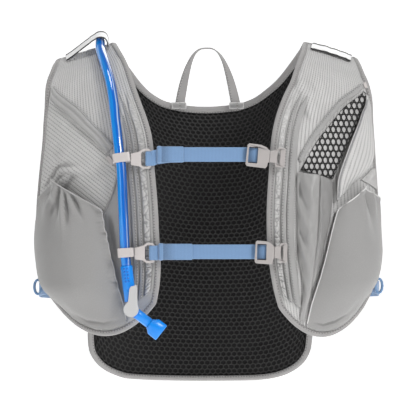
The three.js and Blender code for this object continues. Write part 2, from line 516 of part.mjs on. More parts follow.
// ---------- bite valve ----------
const VALVE = V(-0.438 * HALF_WIDTH, 0, -0.899 * FRONT_DROP);   // middle of the lever's disc
const hoseEnd = hosePath[0].clone();
VALVE.y = hoseEnd.y - 0.4;
const sleeveDir = VALVE.clone().sub(hoseEnd).normalize();
const ALONG = V(0.788, 0, -0.616);                              // the spout points down to the vest's middle
const HOUSING_R = VALVE_D / 2 - 0.2, HOUSING_HALF = 6.9;
const turned = (from, dir, side, rows, n) => skin(rows.map(([d, rx, ry]) => ringAt(from.clone().addScaledVector(dir, d), dir, side, rx, ry ?? rx, n)));
{
  const len = VALVE.distanceTo(hoseEnd) - HOUSING_R - FIT, r = SLEEVE_D / 2;
  add('valve_sleeve', turned(hoseEnd, sleeveDir, V(1, 0, 0), [[FIT, r * 0.92], [1.5, r], [len * 0.62, r], [len * 0.68, r * 0.94], [len, r * 0.94]], 14), MAT.valve);
  add('valve_body', turned(VALVE.clone().add(V(0, -HOUSING_HALF, 0)), V(0, 1, 0), V(1, 0, 0),
    [[0, HOUSING_R - 0.8], [0.8, HOUSING_R], [2 * HOUSING_HALF - 1.2, HOUSING_R], [2 * HOUSING_HALF, HOUSING_R - 1.2]], 18), MAT.valve);
  const spoutR = SPOUT_D / 2, from = HOUSING_R + FIT + 0.6, end = 25;
  add('valve_spout', turned(VALVE, ALONG, V(0, 1, 0), [[from, spoutR], [end, spoutR]], 14), MAT.valve);
  // soft mouthpiece: round where it grips the spout, wide and flat at the bite
  const rows = [[end + FIT, BITE_T / 2, SPOUT_D / 2 + 0.6], [end + 2, BITE_T / 2, SPOUT_D / 2 + 1.6], [end + 4.4, BITE_T / 2, BITE_W / 2 - 0.8], [end + 9, BITE_T / 2, BITE_W / 2],
    [end + 14.6, BITE_T / 2 - 1.4, BITE_W / 2 - 0.4], [end + 16.4, BITE_T / 2 - 3.2, BITE_W / 2 - 3]];
  add('mouthpiece', turned(VALVE, ALONG, V(0, 1, 0), rows, 16), MAT.valve);
  // lever: disc with a stem up along the sleeve, flush with the stem's right side
  const R = VALVE_D / 2, y0 = VALVE.y - HOUSING_HALF - FIT - VALVE_T;
  const stem = [[0.86, 0.51], [0.82, 1.2], [0.80, 2.9], [0.66, 3.28], [0.50, 3.14], [-0.02, 3.02], [-0.22, 2.72], [-0.30, 1.9], [-0.38, 1.1]];
  const disc = span(15).map((i) => { const a = mix(Math.PI * 0.69, Math.PI * 2.17, i / 14); return [Math.cos(a), Math.sin(a)]; });
  add('valve_lever', plate([...disc, ...stem.slice(1)].map(([a, b]) => [VALVE.x + a * R, VALVE.z + b * R]), [], y0, VALVE_T), MAT.lever);
}

// ---------- chest straps ----------
const STRAPS = {             // heights and places along x, [/ HALF_WIDTH] and [/ FRONT_DROP]
  upper: { z: -0.3635, ringZ: -0.378, ringX: -0.400, ringOut: -0.327, foldA: -0.293, foldB: -0.146, buckleX: 0.2095, length: BUCKLE_L, tilt: -0.085 },
  lower: { z: -0.700, ringZ: -0.704, ringX: -0.379, ringOut: -0.306, foldA: -0.284, foldB: -0.096, buckleX: 0.258, length: BUCKLE_L * 0.83, tilt: -0.03 },
};
const RING_T = 2.4, RING_BAR = 3.2, RING_H = 21.5;
for (const [key, K] of Object.entries(STRAPS)) {
  const z = K.z * FRONT_DROP, rz = K.ringZ * FRONT_DROP;
  const sy = frontY(0.33 * HALF_WIDTH, z) - STRAP_OFF - 2.5;    // middle of the webbing
  const rx0 = K.ringX * HALF_WIDTH, rx1 = K.ringOut * HALF_WIDTH;
  // D ring with its plate
  const h = RING_H / 2, px = rx0 - 7.6;
  const outline = [[px, rz - 6.8], [rx0 + 1, rz - 8], [rx0 + 5, rz - h], [rx1 - 2, rz - h], [rx1, rz - h + 2], [rx1, rz + h - 2], [rx1 - 2.4, rz + h], [rx0 + 6, rz + h], [rx0 + 1, rz + 7.6], [px, rz + 5.4]];
  const hole = [[rx0 + 3.4, rz - 6.4], [rx0 + 5.4, rz - 8.6], [rx1 - RING_BAR, rz - 8.6], [rx1 - RING_BAR, rz + 8.6], [rx0 + 6.4, rz + 8.6], [rx0 + 3.4, rz + 6.4]];
  add(`${key}_clip_ring`, plate(outline, [hole], sy - RING_T / 2, RING_T), MAT.plastic);
  // hose clip: block bored for the hose, square to it
  const clipZ = rz + 0.4;
  let k = 0;
  hosePath.forEach((c, i) => { if (Math.abs(c.z - clipZ) < Math.abs(hosePath[k].z - clipZ) && c.y < -60) k = i; });
  const a = hosePath[k], b = hosePath[a.z > clipZ ? k - 1 : k + 1], w = (clipZ - a.z) / (b.z - a.z);
  const c = a.clone().lerp(b, w), t = b.clone().sub(a).normalize().multiplyScalar(Math.sign(b.z - a.z));
  const right = V(1, 0, 0).addScaledVector(t, -t.x).normalize(), back = t.clone().cross(right);
  const CLIP_H = 10, boreR = HOSE_R + 2 * FIT, rightEnd = px - 3 * FIT - c.x;
  const shape = new THREE.Shape(softBox(-8.2, -7.2, rightEnd, 6.9, 2.2, 3).map(([u, v]) => new THREE.Vector2(u, v)));
  shape.holes.push(new THREE.Path(round(0, 0, boreR, 14).map(([u, v]) => new THREE.Vector2(u, v))));
  const clip = new THREE.ExtrudeGeometry(shape, { depth: CLIP_H, bevelEnabled: false });
  clip.translate(0, 0, -CLIP_H / 2);
  clip.applyMatrix4(new THREE.Matrix4().makeBasis(right, back, t).setPosition(c));
  add(`${key}_hose_clip`, clip, MAT.plastic);
  // webbing: back layer, round the ring's bar, front layer, into the buckle's frame
  const bx = K.buckleX * HALF_WIDTH, foldB = K.foldB * HALF_WIDTH, bar = rx1 - RING_BAR / 2, layer = WEB_T / 2 + 0.25;
  const wrap = RING_T / 2 + FIT + WEB_T / 2;
  const turnPts = span(7).map((i) => { const g = mix(0.5, -0.5, i / 6) * Math.PI; return [bar - RING_BAR / 2 - wrap * 0.55 - 0.4 - wrap * 0.25 * Math.cos(g), wrap * Math.sin(g)]; });
  const plan = [[foldB, layer], [foldB - 8, layer], [rx1 + 5, layer], [rx1 + 1.5, wrap], ...turnPts, [rx1 + 1.5, -wrap], [rx1 + 5, -layer], [foldB - 8, -layer], [foldB + 6, -layer],
    [bx - 14, 0], [bx - 4, 1.2], [bx, 2.2], [bx + 2.8, 2.2], [bx + 5.4, 0.6], [bx + 8.4, -0.8], [bx + 11.9, -1]];
  const heightAt = (x) => mix(rz, z, smooth((x - rx1) / 12)) + (x > bx ? (x - bx) * Math.tan(K.tilt) : 0);
  const pts = plan.map(([x, y]) => V(x, sy + y, heightAt(x)));
  add(`${key}_webbing`, ribbon(pts, () => V(0, 0, 1), WEB_W, WEB_T), MAT.webbing);
  // stitched fold on the front of the webbing
  const fa = K.foldA * HALF_WIDTH, f0 = sy - layer - WEB_T / 2 - 2 * FIT;
  const foldPts = [[fa, 0.8], [fa + 1.2, 3.2], [fa + 3.4, 3.4], [fa + 5, 1.7], [foldB - 1, 1.6], [foldB, 1.2]];
  add(`${key}_webbing_fold`, skin(foldPts.map(([x, d]) => [V(x, f0, z - WEB_W / 2 - 0.4), V(x, f0, z + WEB_W / 2 + 0.4), V(x, f0 - d, z + WEB_W / 2 + 0.4), V(x, f0 - d, z - WEB_W / 2 - 0.4)])), MAT.webbing);
  // buckle in its own frame: x from the webbing's side, z up, thickness about the webbing's plane
  const L = K.length, H = BUCKLE_H / 2, cut = 0.60 * L;
  const turn = (g) => g.applyMatrix4(new THREE.Matrix4().makeRotationY(-K.tilt).setPosition(V(bx, sy, z)));
  const forward = -BUCKLE_T / 2 - 2.4;   // the buckle rides in front of the webbing
  const frame = [[0, -H + 2], [1.6, -H], [0.52 * L, -H - 0.8], [0.56 * L, -H + 1.6], [0.57 * L, -7], [cut, -6.4], [cut, 6.4], [0.57 * L, 7], [0.5 * L, H - 2.6], [0.36 * L, H - 0.6], [2.4, H], [0.6, H - 1.4]];
  const windowHole = [[2.4, -8.6], [12.4, -8.6], [12.4, 8.6], [2.4, 8.6]];
  const socket = plate(frame, [windowHole], forward, BUCKLE_T);
  add(`${key}_buckle_socket`, turn(socket), MAT.plastic);
  const plugOutline = [[cut + FIT, -6.2], [0.74 * L, -6.4], [0.77 * L, -H + 1.5], [L - 1, -H + 1.5], [L, -H + 2.5], [L, H - 3], [L - 1, H - 2], [0.80 * L, H - 2], [0.74 * L, 7], [cut + FIT, 6.2]];
  const slot = [[0.81 * L, -7.4], [0.865 * L, -7.4], [0.875 * L, 0], [0.865 * L, 7.4], [0.81 * L, 7.4], [0.795 * L, 0]];
  const plug = plate(plugOutline, [slot], forward + 0.6, BUCKLE_T - 1.2);
  add(`${key}_buckle_plug`, turn(plug), MAT.plastic);
}

// ---------- shoulder keeper bands: [x / HALF_WIDTH, height above the panel] outer to inner ----------
const LEFT_BAND = [[0.830, 1.5], [0.800, 3.4], [0.720, 10.5], [0.675, 14.4], [0.645, 16.0], [0.615, 14.8], [0.592, 9.0], [0.586, 1.8]];
const RIGHT_BAND = [[0.826, 1.0], [0.790, 1.6], [0.730, 2.2], [0.670, 2.2], [0.620, 1.6], [0.600, 1.2]];
const BAND_Y = -7;
for (const [name, table, side, lat] of [['left_shoulder_band', LEFT_BAND, -1, LEFT.lat], ['right_shoulder_band', RIGHT_BAND, 1, RIGHT.lat]]) {
  const pts = span(15).map((k) => {
    const [x, h] = rowAt(table, k / 14), X = side * x * HALF_WIDTH;
    // height of the shoulder cloth at the band's middle line
    let q = lat.at(0.5, 1);
    let best = Infinity;
    for (let j = 40; j <= 88; j++) for (let i = 0; i <= 30; i++) {
      const r = lat.at(i / 30, j / 88), d = Math.hypot(r.x - X, r.y - BAND_Y);
      if (d < best) { best = d; q = r; }
    }
    return V(X, BAND_Y - h * 0.25, q.z + PANEL_T + LAYER_GAP + h + 0.6);
  });
  add(name, ribbon(pts, () => V(0, 1, 0.45), BAND_W, BAND_T), MAT.band);
}

// ---------- side straps: sewn inside the front panel's outer edge, round the side, onto the back's shell ----------
const SIDE_V = { front: 0.060, back: 0.130 };   // lattice heights of the two ends
const SIDE_SEW = { front: 0.09, back: 0.035 };  // sewn length, in lattice widths
const SIDE_OUT = [0.985, 4];                    // furthest point: x / HALF_WIDTH and y
const STRAP_LIFT = BIND_EXTRA + 0.8 + WEB_T / 2; // the strap's middle clear of a binding
for (const [name, S] of [['left_side_strap', LEFT], ['right_side_strap', RIGHT]]) {
  const side = S.sign, edge = side < 0 ? 0 : 1, sewn = side < 0 ? SIDE_SEW.back : 1 - SIDE_SEW.back;
  const A = S.lat.at(1 - SIDE_SEW.front, SIDE_V.front, -STRAP_LIFT), B = S.lat.at(1, SIDE_V.front, -STRAP_LIFT);
  const E = backLat.at(sewn, SIDE_V.back, SHELL_HIGH + STRAP_LIFT + 0.8), D = backLat.at(edge, SIDE_V.back, SHELL_HIGH + STRAP_LIFT);
  const C = B.clone().addScaledVector(B.clone().sub(A).normalize(), 10), F = D.clone().addScaledVector(V(side, 0, 0), 9).add(V(0, 1.6, 0));
  const mid = V(side * SIDE_OUT[0] * HALF_WIDTH, SIDE_OUT[1], (C.z + F.z) / 2);
  const run = curve([A, B, C, mid, F, D, E], 20);
  add(name, ribbon(run, () => V(0, 0, 1), WEB_W, WEB_T), MAT.webbing);
  // folded loop end that stands out beside the panel
  const rx = 4.8, rz = 8.8, cz = C.z + 1, cy = C.y + 5;
  const beside = Math.max(...run.filter((q) => Math.abs(q.y - cy) < 13).map((q) => side * q.x));
  const cx = side * (beside + rx + WEB_T / 2 + 0.4);
  const wall = (k, y) => [cx + side * rx * k[0], y, cz + rz * k[1]];
  const loop = span(12).map((i) => { const a = 2 * Math.PI * i / 12; return [Math.cos(a), Math.sin(a)]; });
  add(name.replace('strap', 'loop'), skin(loop.map(([a, b]) => [[1, -5], [1, 5], [0.66, 5], [0.66, -5]].map(([k, y]) => V(...wall([a * k, b * (k < 1 ? 0.8 : 1)], cy + y)))), { loop: true }), MAT.webbing);
}

export default vest;
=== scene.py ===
"""Running hydration vest: cloth, trims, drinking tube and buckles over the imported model, with a studio."""
import math

import bmesh
import bpy
import numpy as np
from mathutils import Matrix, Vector


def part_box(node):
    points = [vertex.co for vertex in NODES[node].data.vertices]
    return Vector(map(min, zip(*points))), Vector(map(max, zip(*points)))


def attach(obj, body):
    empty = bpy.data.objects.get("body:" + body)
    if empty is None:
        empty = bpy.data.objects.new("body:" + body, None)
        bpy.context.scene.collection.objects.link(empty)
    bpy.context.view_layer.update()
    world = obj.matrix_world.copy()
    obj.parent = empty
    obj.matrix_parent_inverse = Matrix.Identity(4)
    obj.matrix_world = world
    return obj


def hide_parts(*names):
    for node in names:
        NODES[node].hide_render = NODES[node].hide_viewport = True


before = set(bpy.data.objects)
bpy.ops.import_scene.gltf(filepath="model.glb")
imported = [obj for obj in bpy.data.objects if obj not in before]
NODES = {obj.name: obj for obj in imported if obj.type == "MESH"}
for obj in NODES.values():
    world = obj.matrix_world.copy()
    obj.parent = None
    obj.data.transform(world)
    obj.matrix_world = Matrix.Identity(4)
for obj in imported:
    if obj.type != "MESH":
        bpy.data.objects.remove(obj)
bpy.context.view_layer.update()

bl_info = {
    "name": "Running hydration vest",
    "version": (1, 0, 0),
    "blender": (4, 5, 0),
    "location": "View3D > Sidebar > Vest",
    "description": "Builds the cloth, trims, tube and buckles of a hydration vest on its packed model",
    "category": "Object",
}

# Sizes, in metres
HALF_WIDTH, FRONT_DROP, BACK_DROP = 0.191, 0.311, 0.360
CHEST_DEPTH, BACK_DEPTH = 0.123, 0.108
RIDGE_Y, RIDGE_TOP, RIDGE_FALL, RIDGE_NECK, RIDGE_ARM = 0.006, 0.013, 0.018, 0.100, 0.160
PANEL_T, PAD_T, SKIN_T = 0.003, 0.005, 0.0016
LAYER_GAP = 0.0008
BIND_W, BIND_EXTRA = 0.0056, 0.0007
WEB_W, WEB_T = 0.0154, 0.0015
TAPE_W, TAPE_T = 0.0105, 0.0014
BAND_W, BAND_T = 0.021, 0.0013
HOSE_D, SLEEVE_D, FIT = 0.0108, 0.013, 0.0003
VALVE_D, SPOUT_D, BITE_W, BITE_T = 0.0164, 0.011, 0.020, 0.012
RING_T, RING_BAR, STRAP_OFF = 0.0024, 0.0032, 0.0075
NET_THICK, NET_WELD, CELL_MARGIN = 0.0005, 0.0003, 0.0008
MM = 0.001

# Shares, and counts of grid steps across and along
RIM_ROUND = 0.8
SLANT_A, SLANT_B, ZIP_SLOPE = 0.62, 0.78, 0.61
POUCH_GRID, NET_GRID, COVER_GRID = (110, 130), (60, 160), (40, 150)
NET_TALL, NET_STEP, NET_HOLE = 1.3, 0.86, 0.44
CELL_TALL, CELL_SQUASH = 0.78, 0.78 / 0.866
# The darkness column is painted shade: the innermost ring, the cell's floor, is painted near black.
CELL_RINGS = [  # radius as a share of the cell, millimetres in from the form, darkness
    (0.5774, 5.1, 0.0), (0.46, 4.7, 0.0), (0.39, 2.6, 1.0),
]
PAD_SPAN = (260, 340)
BAND_RIM, BAND_FAR_RIM, RIM_SOFT = 2.0, 5.0, 0.4

# Camera and floor, in metres; the sensor in millimetres
CAMERA_AWAY, CHEST_Y, SENSOR = 3.5, -0.110, 36.0
PIXEL, PICTURE = 1.08 * MM, 416
CAMERA_Z, AIM_Z = -0.1706, -0.18
FLOOR_Z, FLOOR_END, FLOOR_BEND, FLOOR_HALF = -0.95, 9.0, 2, 16

# Form tables, as shares of the sizes
FRONT_FORM = [  # drop, depth
    (0.000, 0.000), (0.026, 0.179), (0.064, 0.374), (0.129, 0.618), (0.209, 0.805), (0.322, 0.943),
    (0.418, 1.000), (0.643, 1.016), (0.836, 0.976), (1.061, 0.894), (1.286, 0.854),
]
BACK_FORM = [
    (0.000, 0.000), (0.022, 0.190), (0.069, 0.430), (0.160, 0.720), (0.300, 0.940),
    (0.540, 1.000), (0.800, 0.930), (1.100, 0.860),
]
HOSE_SIDE = [  # inner x, inner z, outer x, outer z, sag, hem to ridge
    (0.328, -0.872, 0.841, -0.883, -0.194), (0.311, -0.809, 0.913, -0.827, -0.115),
    (0.305, -0.736, 0.963, -0.750, -0.063), (0.313, -0.653, 0.975, -0.662, -0.028),
    (0.322, -0.538, 0.969, -0.549, -0.010), (0.339, -0.417, 0.950, -0.428, 0.000),
    (0.351, -0.319, 0.930, -0.319, 0.000), (0.380, -0.249, 0.923, -0.244, 0.000),
    (0.421, -0.182, 0.914, -0.177, 0.000), (0.460, -0.117, 0.906, -0.116, 0.000),
    (0.501, -0.047, 0.884, -0.068, 0.000), (0.545, 0.003, 0.868, -0.034, 0.000),
    (0.577, 0.036, 0.853, -0.012, 0.000),
]
NET_SIDE = [
    (0.422, -0.886, 0.865, -0.883, -0.188), (0.396, -0.827, 0.916, -0.824, -0.115),
    (0.376, -0.757, 0.950, -0.750, -0.063), (0.359, -0.660, 0.956, -0.662, -0.028),
    (0.358, -0.538, 0.950, -0.542, -0.010), (0.370, -0.420, 0.935, -0.421, 0.000),
    (0.382, -0.323, 0.924, -0.319, 0.000), (0.406, -0.246, 0.916, -0.244, 0.000),
    (0.447, -0.175, 0.911, -0.180, 0.000), (0.498, -0.110, 0.894, -0.124, 0.000),
    (0.532, -0.050, 0.868, -0.079, 0.000), (0.562, -0.004, 0.850, -0.041, 0.000),
    (0.578, 0.034, 0.833, -0.014, 0.000),
]
NECK_EDGE = [  # x, z left to right
    (-0.577, 0.030), (-0.545, -0.004), (-0.487, -0.048), (-0.434, -0.086), (-0.378, -0.117),
    (-0.320, -0.138),
    (-0.260, -0.152), (-0.140, -0.164), (-0.010, -0.168), (0.120, -0.163), (0.188, -0.158),
    (0.285, -0.139),
    (0.362, -0.110), (0.433, -0.076), (0.507, -0.026), (0.552, 0.006), (0.578, 0.030),
]
HEM_EDGE = [
    (-0.639, -0.890), (-0.627, -0.928), (-0.575, -0.964), (-0.492, -0.988), (-0.401, -0.999),
    (-0.147, -1.005),
    (0.093, -1.006), (0.333, -1.003), (0.453, -0.994), (0.533, -0.978), (0.593, -0.954), (0.628, -0.922),
    (0.639, -0.885),
]
SIDE_EDGE = [
    (0.639, -0.888), (0.655, -0.791), (0.672, -0.693), (0.680, -0.596), (0.676, -0.499),
    (0.665, -0.401), (0.655, -0.304), (0.668, -0.207), (0.730, -0.109), (0.845, -0.012),
]
BACK_LEAN = -0.053
RIDGE_CUT = 0.125

LEFT_POUCH = [  # inner, peak, outer, hem to mouth
    [(0.459, -0.938), (0.637, -0.961), (0.817, -0.921)],
    [(0.493, -0.827), (0.700, -0.853), (0.900, -0.844)],
    [(0.532, -0.723), (0.740, -0.737), (0.949, -0.739)],
    [(0.560, -0.639), (0.780, -0.619), (0.962, -0.648)],
    [(0.589, -0.552), (0.834, -0.450), (0.940, -0.513)],
]
RIGHT_POUCH = [
    [(0.546, -0.952), (0.697, -0.970), (0.841, -0.921)],
    [(0.592, -0.831), (0.752, -0.843), (0.900, -0.830)],
    [(0.641, -0.716), (0.804, -0.724), (0.943, -0.725)],
    [(0.681, -0.611), (0.822, -0.598), (0.949, -0.612)],
    [(0.710, -0.552), (0.828, -0.475), (0.955, -0.513)],
]
FLASK_POCKET = [
    [(0.508, -0.930), (0.520, -0.934), (0.532, -0.938)],
    [(0.528, -0.834), (0.554, -0.834), (0.578, -0.831)],
    [(0.499, -0.715), (0.563, -0.716), (0.627, -0.712)],
    [(0.492, -0.573), (0.578, -0.570), (0.677, -0.570)],
    [(0.492, -0.430), (0.583, -0.437), (0.688, -0.461)],
]
NET_LINING = [
    [(0.512, -0.418), (0.690, -0.448)], [(0.583, -0.340), (0.765, -0.345)],
    [(0.683, -0.258), (0.826, -0.267)],
    [(0.783, -0.188), (0.862, -0.209)], [(0.880, -0.140), (0.892, -0.146)],
]
FLAP_EDGE = [
    [(0.500, -0.378), (0.514, -0.392)], [(0.555, -0.315), (0.573, -0.329)],
    [(0.655, -0.232), (0.673, -0.247)],
    [(0.755, -0.164), (0.772, -0.178)], [(0.862, -0.118), (0.878, -0.128)],
]
POCKET_COVER = [
    [(0.700, -0.520), (0.806, -0.462)], [(0.703, -0.444), (0.903, -0.400)],
    [(0.757, -0.345), (0.925, -0.351)],
    [(0.808, -0.271), (0.925, -0.280)], [(0.852, -0.210), (0.922, -0.212)],
    [(0.888, -0.150), (0.915, -0.152)],
]
CORNER_TAB = [[(0.855, -0.450), (0.945, -0.482)], [(0.914, -0.414), (0.945, -0.410)]]
ZIP_FLAP = [
    [(0.895, -0.165), (0.890, -0.124)], [(0.778, -0.239), (0.750, -0.197)],
    [(0.660, -0.308), (0.625, -0.276)], [(0.575, -0.361), (0.535, -0.336)],
]
POUCH_BULGE, FLASK_BULGE, COVER_LIFT = 0.024, 0.012, 0.009
TOP = PANEL_T + LAYER_GAP
SLEEVE_ROWS = [
    [(0.14, 0.06), (0.50, 0.05), (0.86, 0.06)], [(0.13, 0.40), (0.50, 0.40), (0.87, 0.40)],
    [(0.22, 0.70), (0.50, 0.73), (0.78, 0.70)],
]
SLEEVE_DEPTH, SHELL_LOW = 0.024, 0.0005
SHELL_HIGH = SHELL_LOW + SKIN_T
RIBS = {  # strip: distance from the inner edge and width, as shares of HALF_WIDTH, thickness
    "left": [("gathered_band", 0.030, 0.034, 0.0012), ("inner_rib", 0.069, 0.020, 0.0012),
             ("outer_rib", 0.101, 0.022, 0.0012)],
    "right": [("gathered_band", 0.022, 0.030, 0.0012), ("inner_rib", 0.056, 0.018, 0.0012),
              ("outer_rib", 0.096, 0.036, 0.0012)],
}
RIB_ENDS = (0.06, 0.70)
HOSE_FRONT = [  # x, z, height over the panel's inner face in millimetres
    (0.447, -0.744, 15.2), (0.454, -0.698, 14.4), (0.464, -0.556, 14.0), (0.475, -0.407, 14.0),
    (0.483, -0.372, 14.0),
    (0.507, -0.267, 12.4), (0.541, -0.140, 10.6), (0.580, -0.070, 9.8), (0.615, -0.012, 9.4),
]
HOSE_BACK = [
    (-0.622, -0.004, 9.6), (-0.560, -0.080, 9.6), (-0.440, -0.160, 9.6), (-0.300, -0.225, 9.6),
    (-0.200, -0.300, 10.5), (-0.140, -0.440, 12.0),
]
LEFT_BAND = [(0.830, 1.5), (0.800, 3.4), (0.720, 10.5), (0.675, 14.4), (0.645, 16.0), (0.615, 14.8),
             (0.592, 9.0), (0.586, 1.8)]
RIGHT_BAND = [(0.826, 1.0), (0.790, 1.6), (0.730, 2.2), (0.670, 2.2), (0.620, 1.6), (0.600, 1.2)]
STRAPS = {  # heights as shares of FRONT_DROP, places across as shares of HALF_WIDTH, tilt in radians
    "upper": {"z": -0.3635, "ring_z": -0.378, "ring_out": -0.327, "fold_a": -0.293, "fold_b": -0.146,
              "buckle_x": 0.2095, "tilt": -0.085},
    "lower": {"z": -0.700, "ring_z": -0.704, "ring_out": -0.306, "fold_a": -0.284, "fold_b": -0.096,
              "buckle_x": 0.258, "tilt": -0.03},
}
BUCKLE_RUN = [  # millimetres past the buckle's middle, millimetres behind the strap's middle
    (-14, 0), (-4, 1.2), (0, 2.2), (2.8, 2.2), (5.4, 0.6), (8.4, -0.8), (11.9, -1),
]
FOLD_SHAPE = [  # millimetres along the fold, millimetres in front of its back
    (0, 0.8), (0.4, 2.2), (1.2, 3.2), (2.4, 3.5), (3.4, 3.3), (4.4, 2.2), (5.2, 1.7),
]
TOOTH = [  # one zip tooth in millimetres: place, half width, half depth
    (-1.1, 0.18, 0.28), (-0.9, 0.28, 0.40), (0.9, 0.28, 0.40), (1.1, 0.18, 0.28),
]


# Small maths
def mix(a, b, t):
    return a + (b - a) * t


def clamp(t, low=0.0, high=1.0):
    return np.clip(t, low, high)


def smooth(t):
    c = clamp(t)
    return c * c * (3 - 2 * c)


def row_at(table, t):
    """Smooth curve through a table's rows, t from 0 to 1 over equal steps."""
    rows = np.array(table, float).reshape(len(table), -1)
    n = len(rows) - 1
    f = clamp(np.asarray(t, float)) * n
    i = np.minimum(n - 1, np.floor(f)).astype(int)
    w = (f - i)[..., None]
    a, b, c, d = (rows[np.clip(i + k, 0, n)] for k in (-1, 0, 1, 2))
    return 0.5 * (2 * b + (c - a) * w + (2 * a - 5 * b + 4 * c - d) * w ** 2 + (3 * b - a - 3 * c + d)
                  * w ** 3)


def curve_at(table, x):
    """Smooth one-to-one reading of a two-column table."""
    q = np.array(table, float)
    x = np.asarray(x, float)
    last = len(q) - 1

    def slope(k):
        a, b = np.maximum(0, k - 1), np.minimum(last, k + 1)
        return (q[b, 1] - q[a, 1]) / (q[b, 0] - q[a, 0])

    i = np.clip(np.searchsorted(q[:, 0], x, side="left") - 1, 0, last - 1)
    h = q[i + 1, 0] - q[i, 0]
    t = clamp((x - q[i, 0]) / h)
    return ((1 + 2 * t) * (1 - t) ** 2 * q[i, 1] + t * (1 - t) ** 2 * h * slope(i)
            + t * t * (3 - 2 * t) * q[i + 1, 1] + t * t * (t - 1) * h * slope(i + 1))


def unit(v):
    return v / np.maximum(np.linalg.norm(v, axis=-1, keepdims=True), 1e-12)


def swell(x, y, seed, scale, count=9):
    """Soft seeded ripple over x and y, about -1 to 1; scale is the length of its waves."""
    dice = np.random.RandomState(seed)
    out = 0
    for _ in range(count):
        a, p = dice.uniform(0, 2 * math.pi), dice.uniform(0, 2 * math.pi)
        k = dice.uniform(0.6, 1.7) * 2 * math.pi / scale
        out = out + np.sin(k * (x * math.cos(a) + y * math.sin(a)) + p)
    return out / math.sqrt(count) / 1.4


def crumple(points, seed, scale, squash=1.0):
    """The ripple over the front view of some points, its waves in millimetres."""
    return swell(points[..., 0] / MM, points[..., 2] / MM * squash, seed, scale)


def travelled(points):
    """Distance along a line of points, up to each of them."""
    return np.concatenate([[0], np.cumsum(np.linalg.norm(np.diff(points, axis=0), axis=-1))])


def shares(cols, rows):
    """How far across and along a grid each of its points lies, from 0 to 1."""
    return np.meshgrid(np.linspace(0, 1, cols + 1), np.linspace(0, 1, rows + 1))


# The wearer's form
def ridge(x):
    return RIDGE_TOP - RIDGE_FALL * clamp((np.abs(x) - RIDGE_NECK) / (RIDGE_ARM - RIDGE_NECK), 0, 1.1)


def front_y(x, z):
    drop = np.maximum(0, ridge(x) - z)
    bow = np.sqrt(1 - np.minimum(0.98, np.abs(x) / (HALF_WIDTH * 1.03)) ** 2.4)
    flat = mix(1, bow, smooth(drop / (0.2 * FRONT_DROP)))
    return RIDGE_Y - CHEST_DEPTH * curve_at(FRONT_FORM, drop / FRONT_DROP) * flat


def back_y(x, z):
    drop = np.maximum(0, ridge(x) - z)
    flat = 1 - 0.28 * (x / (0.75 * HALF_WIDTH)) ** 2 * smooth(drop / (0.25 * BACK_DROP))
    return RIDGE_Y + 2 * LAYER_GAP + BACK_DEPTH * curve_at(BACK_FORM, drop / BACK_DROP) * flat


class Form:
    """A curved cloth form on a grid; at() reads points any distance off it."""

    def __init__(self, cols, rows, point, outward):
        self.cols, self.rows = cols, rows
        u, v = shares(cols, rows)
        p = self.p = point(u, v)
        f = np.cross(p[:-1, 1:] - p[1:, :-1], p[1:, 1:] - p[:-1, :-1])
        f *= np.where((f * outward(p[:-1, :-1])).sum(-1) < 0, -1, 1)[..., None]
        n = np.zeros_like(p)
        for a in (slice(None, -1), slice(1, None)):
            for b in (slice(None, -1), slice(1, None)):
                n[a, b] += f
        self.n = unit(n)

    def at(self, u, v, off=0.0):
        u, v, off = np.broadcast_arrays(np.asarray(u, float), v, off)
        fu, fv = clamp(u) * self.cols, clamp(v) * self.rows
        i = np.minimum(self.cols - 1, np.floor(fu)).astype(int)
        j = np.minimum(self.rows - 1, np.floor(fv)).astype(int)
        a, b = (fu - i)[..., None], (fv - j)[..., None]

        def read(g):
            return mix(mix(g[j, i], g[j, i + 1], a), mix(g[j + 1, i], g[j + 1, i + 1], a), b)

        return read(self.p) + unit(read(self.n)) * off[..., None]


class Side:
    """One front panel: sign, edge table, the coarse form that the solids use and a fine one for the cloth."""

    def __init__(self, sign, table):
        self.sign, self.table = sign, table

        def point(u, v):
            xi, zi, xo, zo, sag = np.moveaxis(row_at(table, v), -1, 0)
            s = 1 - (1 - u) ** 1.2
            x = sign * HALF_WIDTH * mix(xi, xo, s)
            z = FRONT_DROP * (mix(zi, zo, s) + 2 * sag * s * (1 - s))
            return np.stack([x, front_y(x, z), z], -1)

        def outward(q):
            up = np.where(0.25 * FRONT_DROP + q[..., 2] > 0, 0.06, 0)
            return np.stack([q[..., 0], q[..., 1], up], -1)

        self.coarse = Form(9, 22, point, outward)
        self.fine = Form(72, 220, point, outward)

    def place(self, xs, zs):
        """The form's u and v behind a point of the front view, x and z as shares."""
        x, z = self.sign * HALF_WIDTH * xs, FRONT_DROP * zs
        uu, vv = shares(36, 44)

        def far(u, v):
            q = self.coarse.at(u, v)
            return np.hypot(q[..., 0] - x, q[..., 2] - z)

        d = far(uu, vv)
        k = np.unravel_index(np.argmin(d), d.shape)
        u, v, best, step = uu[k], vv[k], d[k], 0.02
        while step > 1e-5:
            moves = ((step, 0), (-step, 0), (0, step), (0, -step))
            tries = [(clamp(u + a), clamp(v + b)) for a, b in moves]
            e = far(np.array([t[0] for t in tries]), np.array([t[1] for t in tries]))
            m = int(np.argmin(e))
            if e[m] < best - 1e-12:
                (u, v), best = tries[m], e[m]
            else:
                step /= 2
        return float(u), float(v)

    def on(self, rows):
        return [[self.place(x, z) for x, z in r] for r in rows]

    def share(self, distance, v):
        """u at a distance from the inner edge, as a share of HALF_WIDTH."""
        q = row_at(self.table, v)
        return 1 - (1 - clamp(distance / (q[..., 2] - q[..., 0]))) ** (1 / 1.2)


LEFT, RIGHT = Side(-1, HOSE_SIDE), Side(1, NET_SIDE)
SIDES = {"left": LEFT, "right": RIGHT}


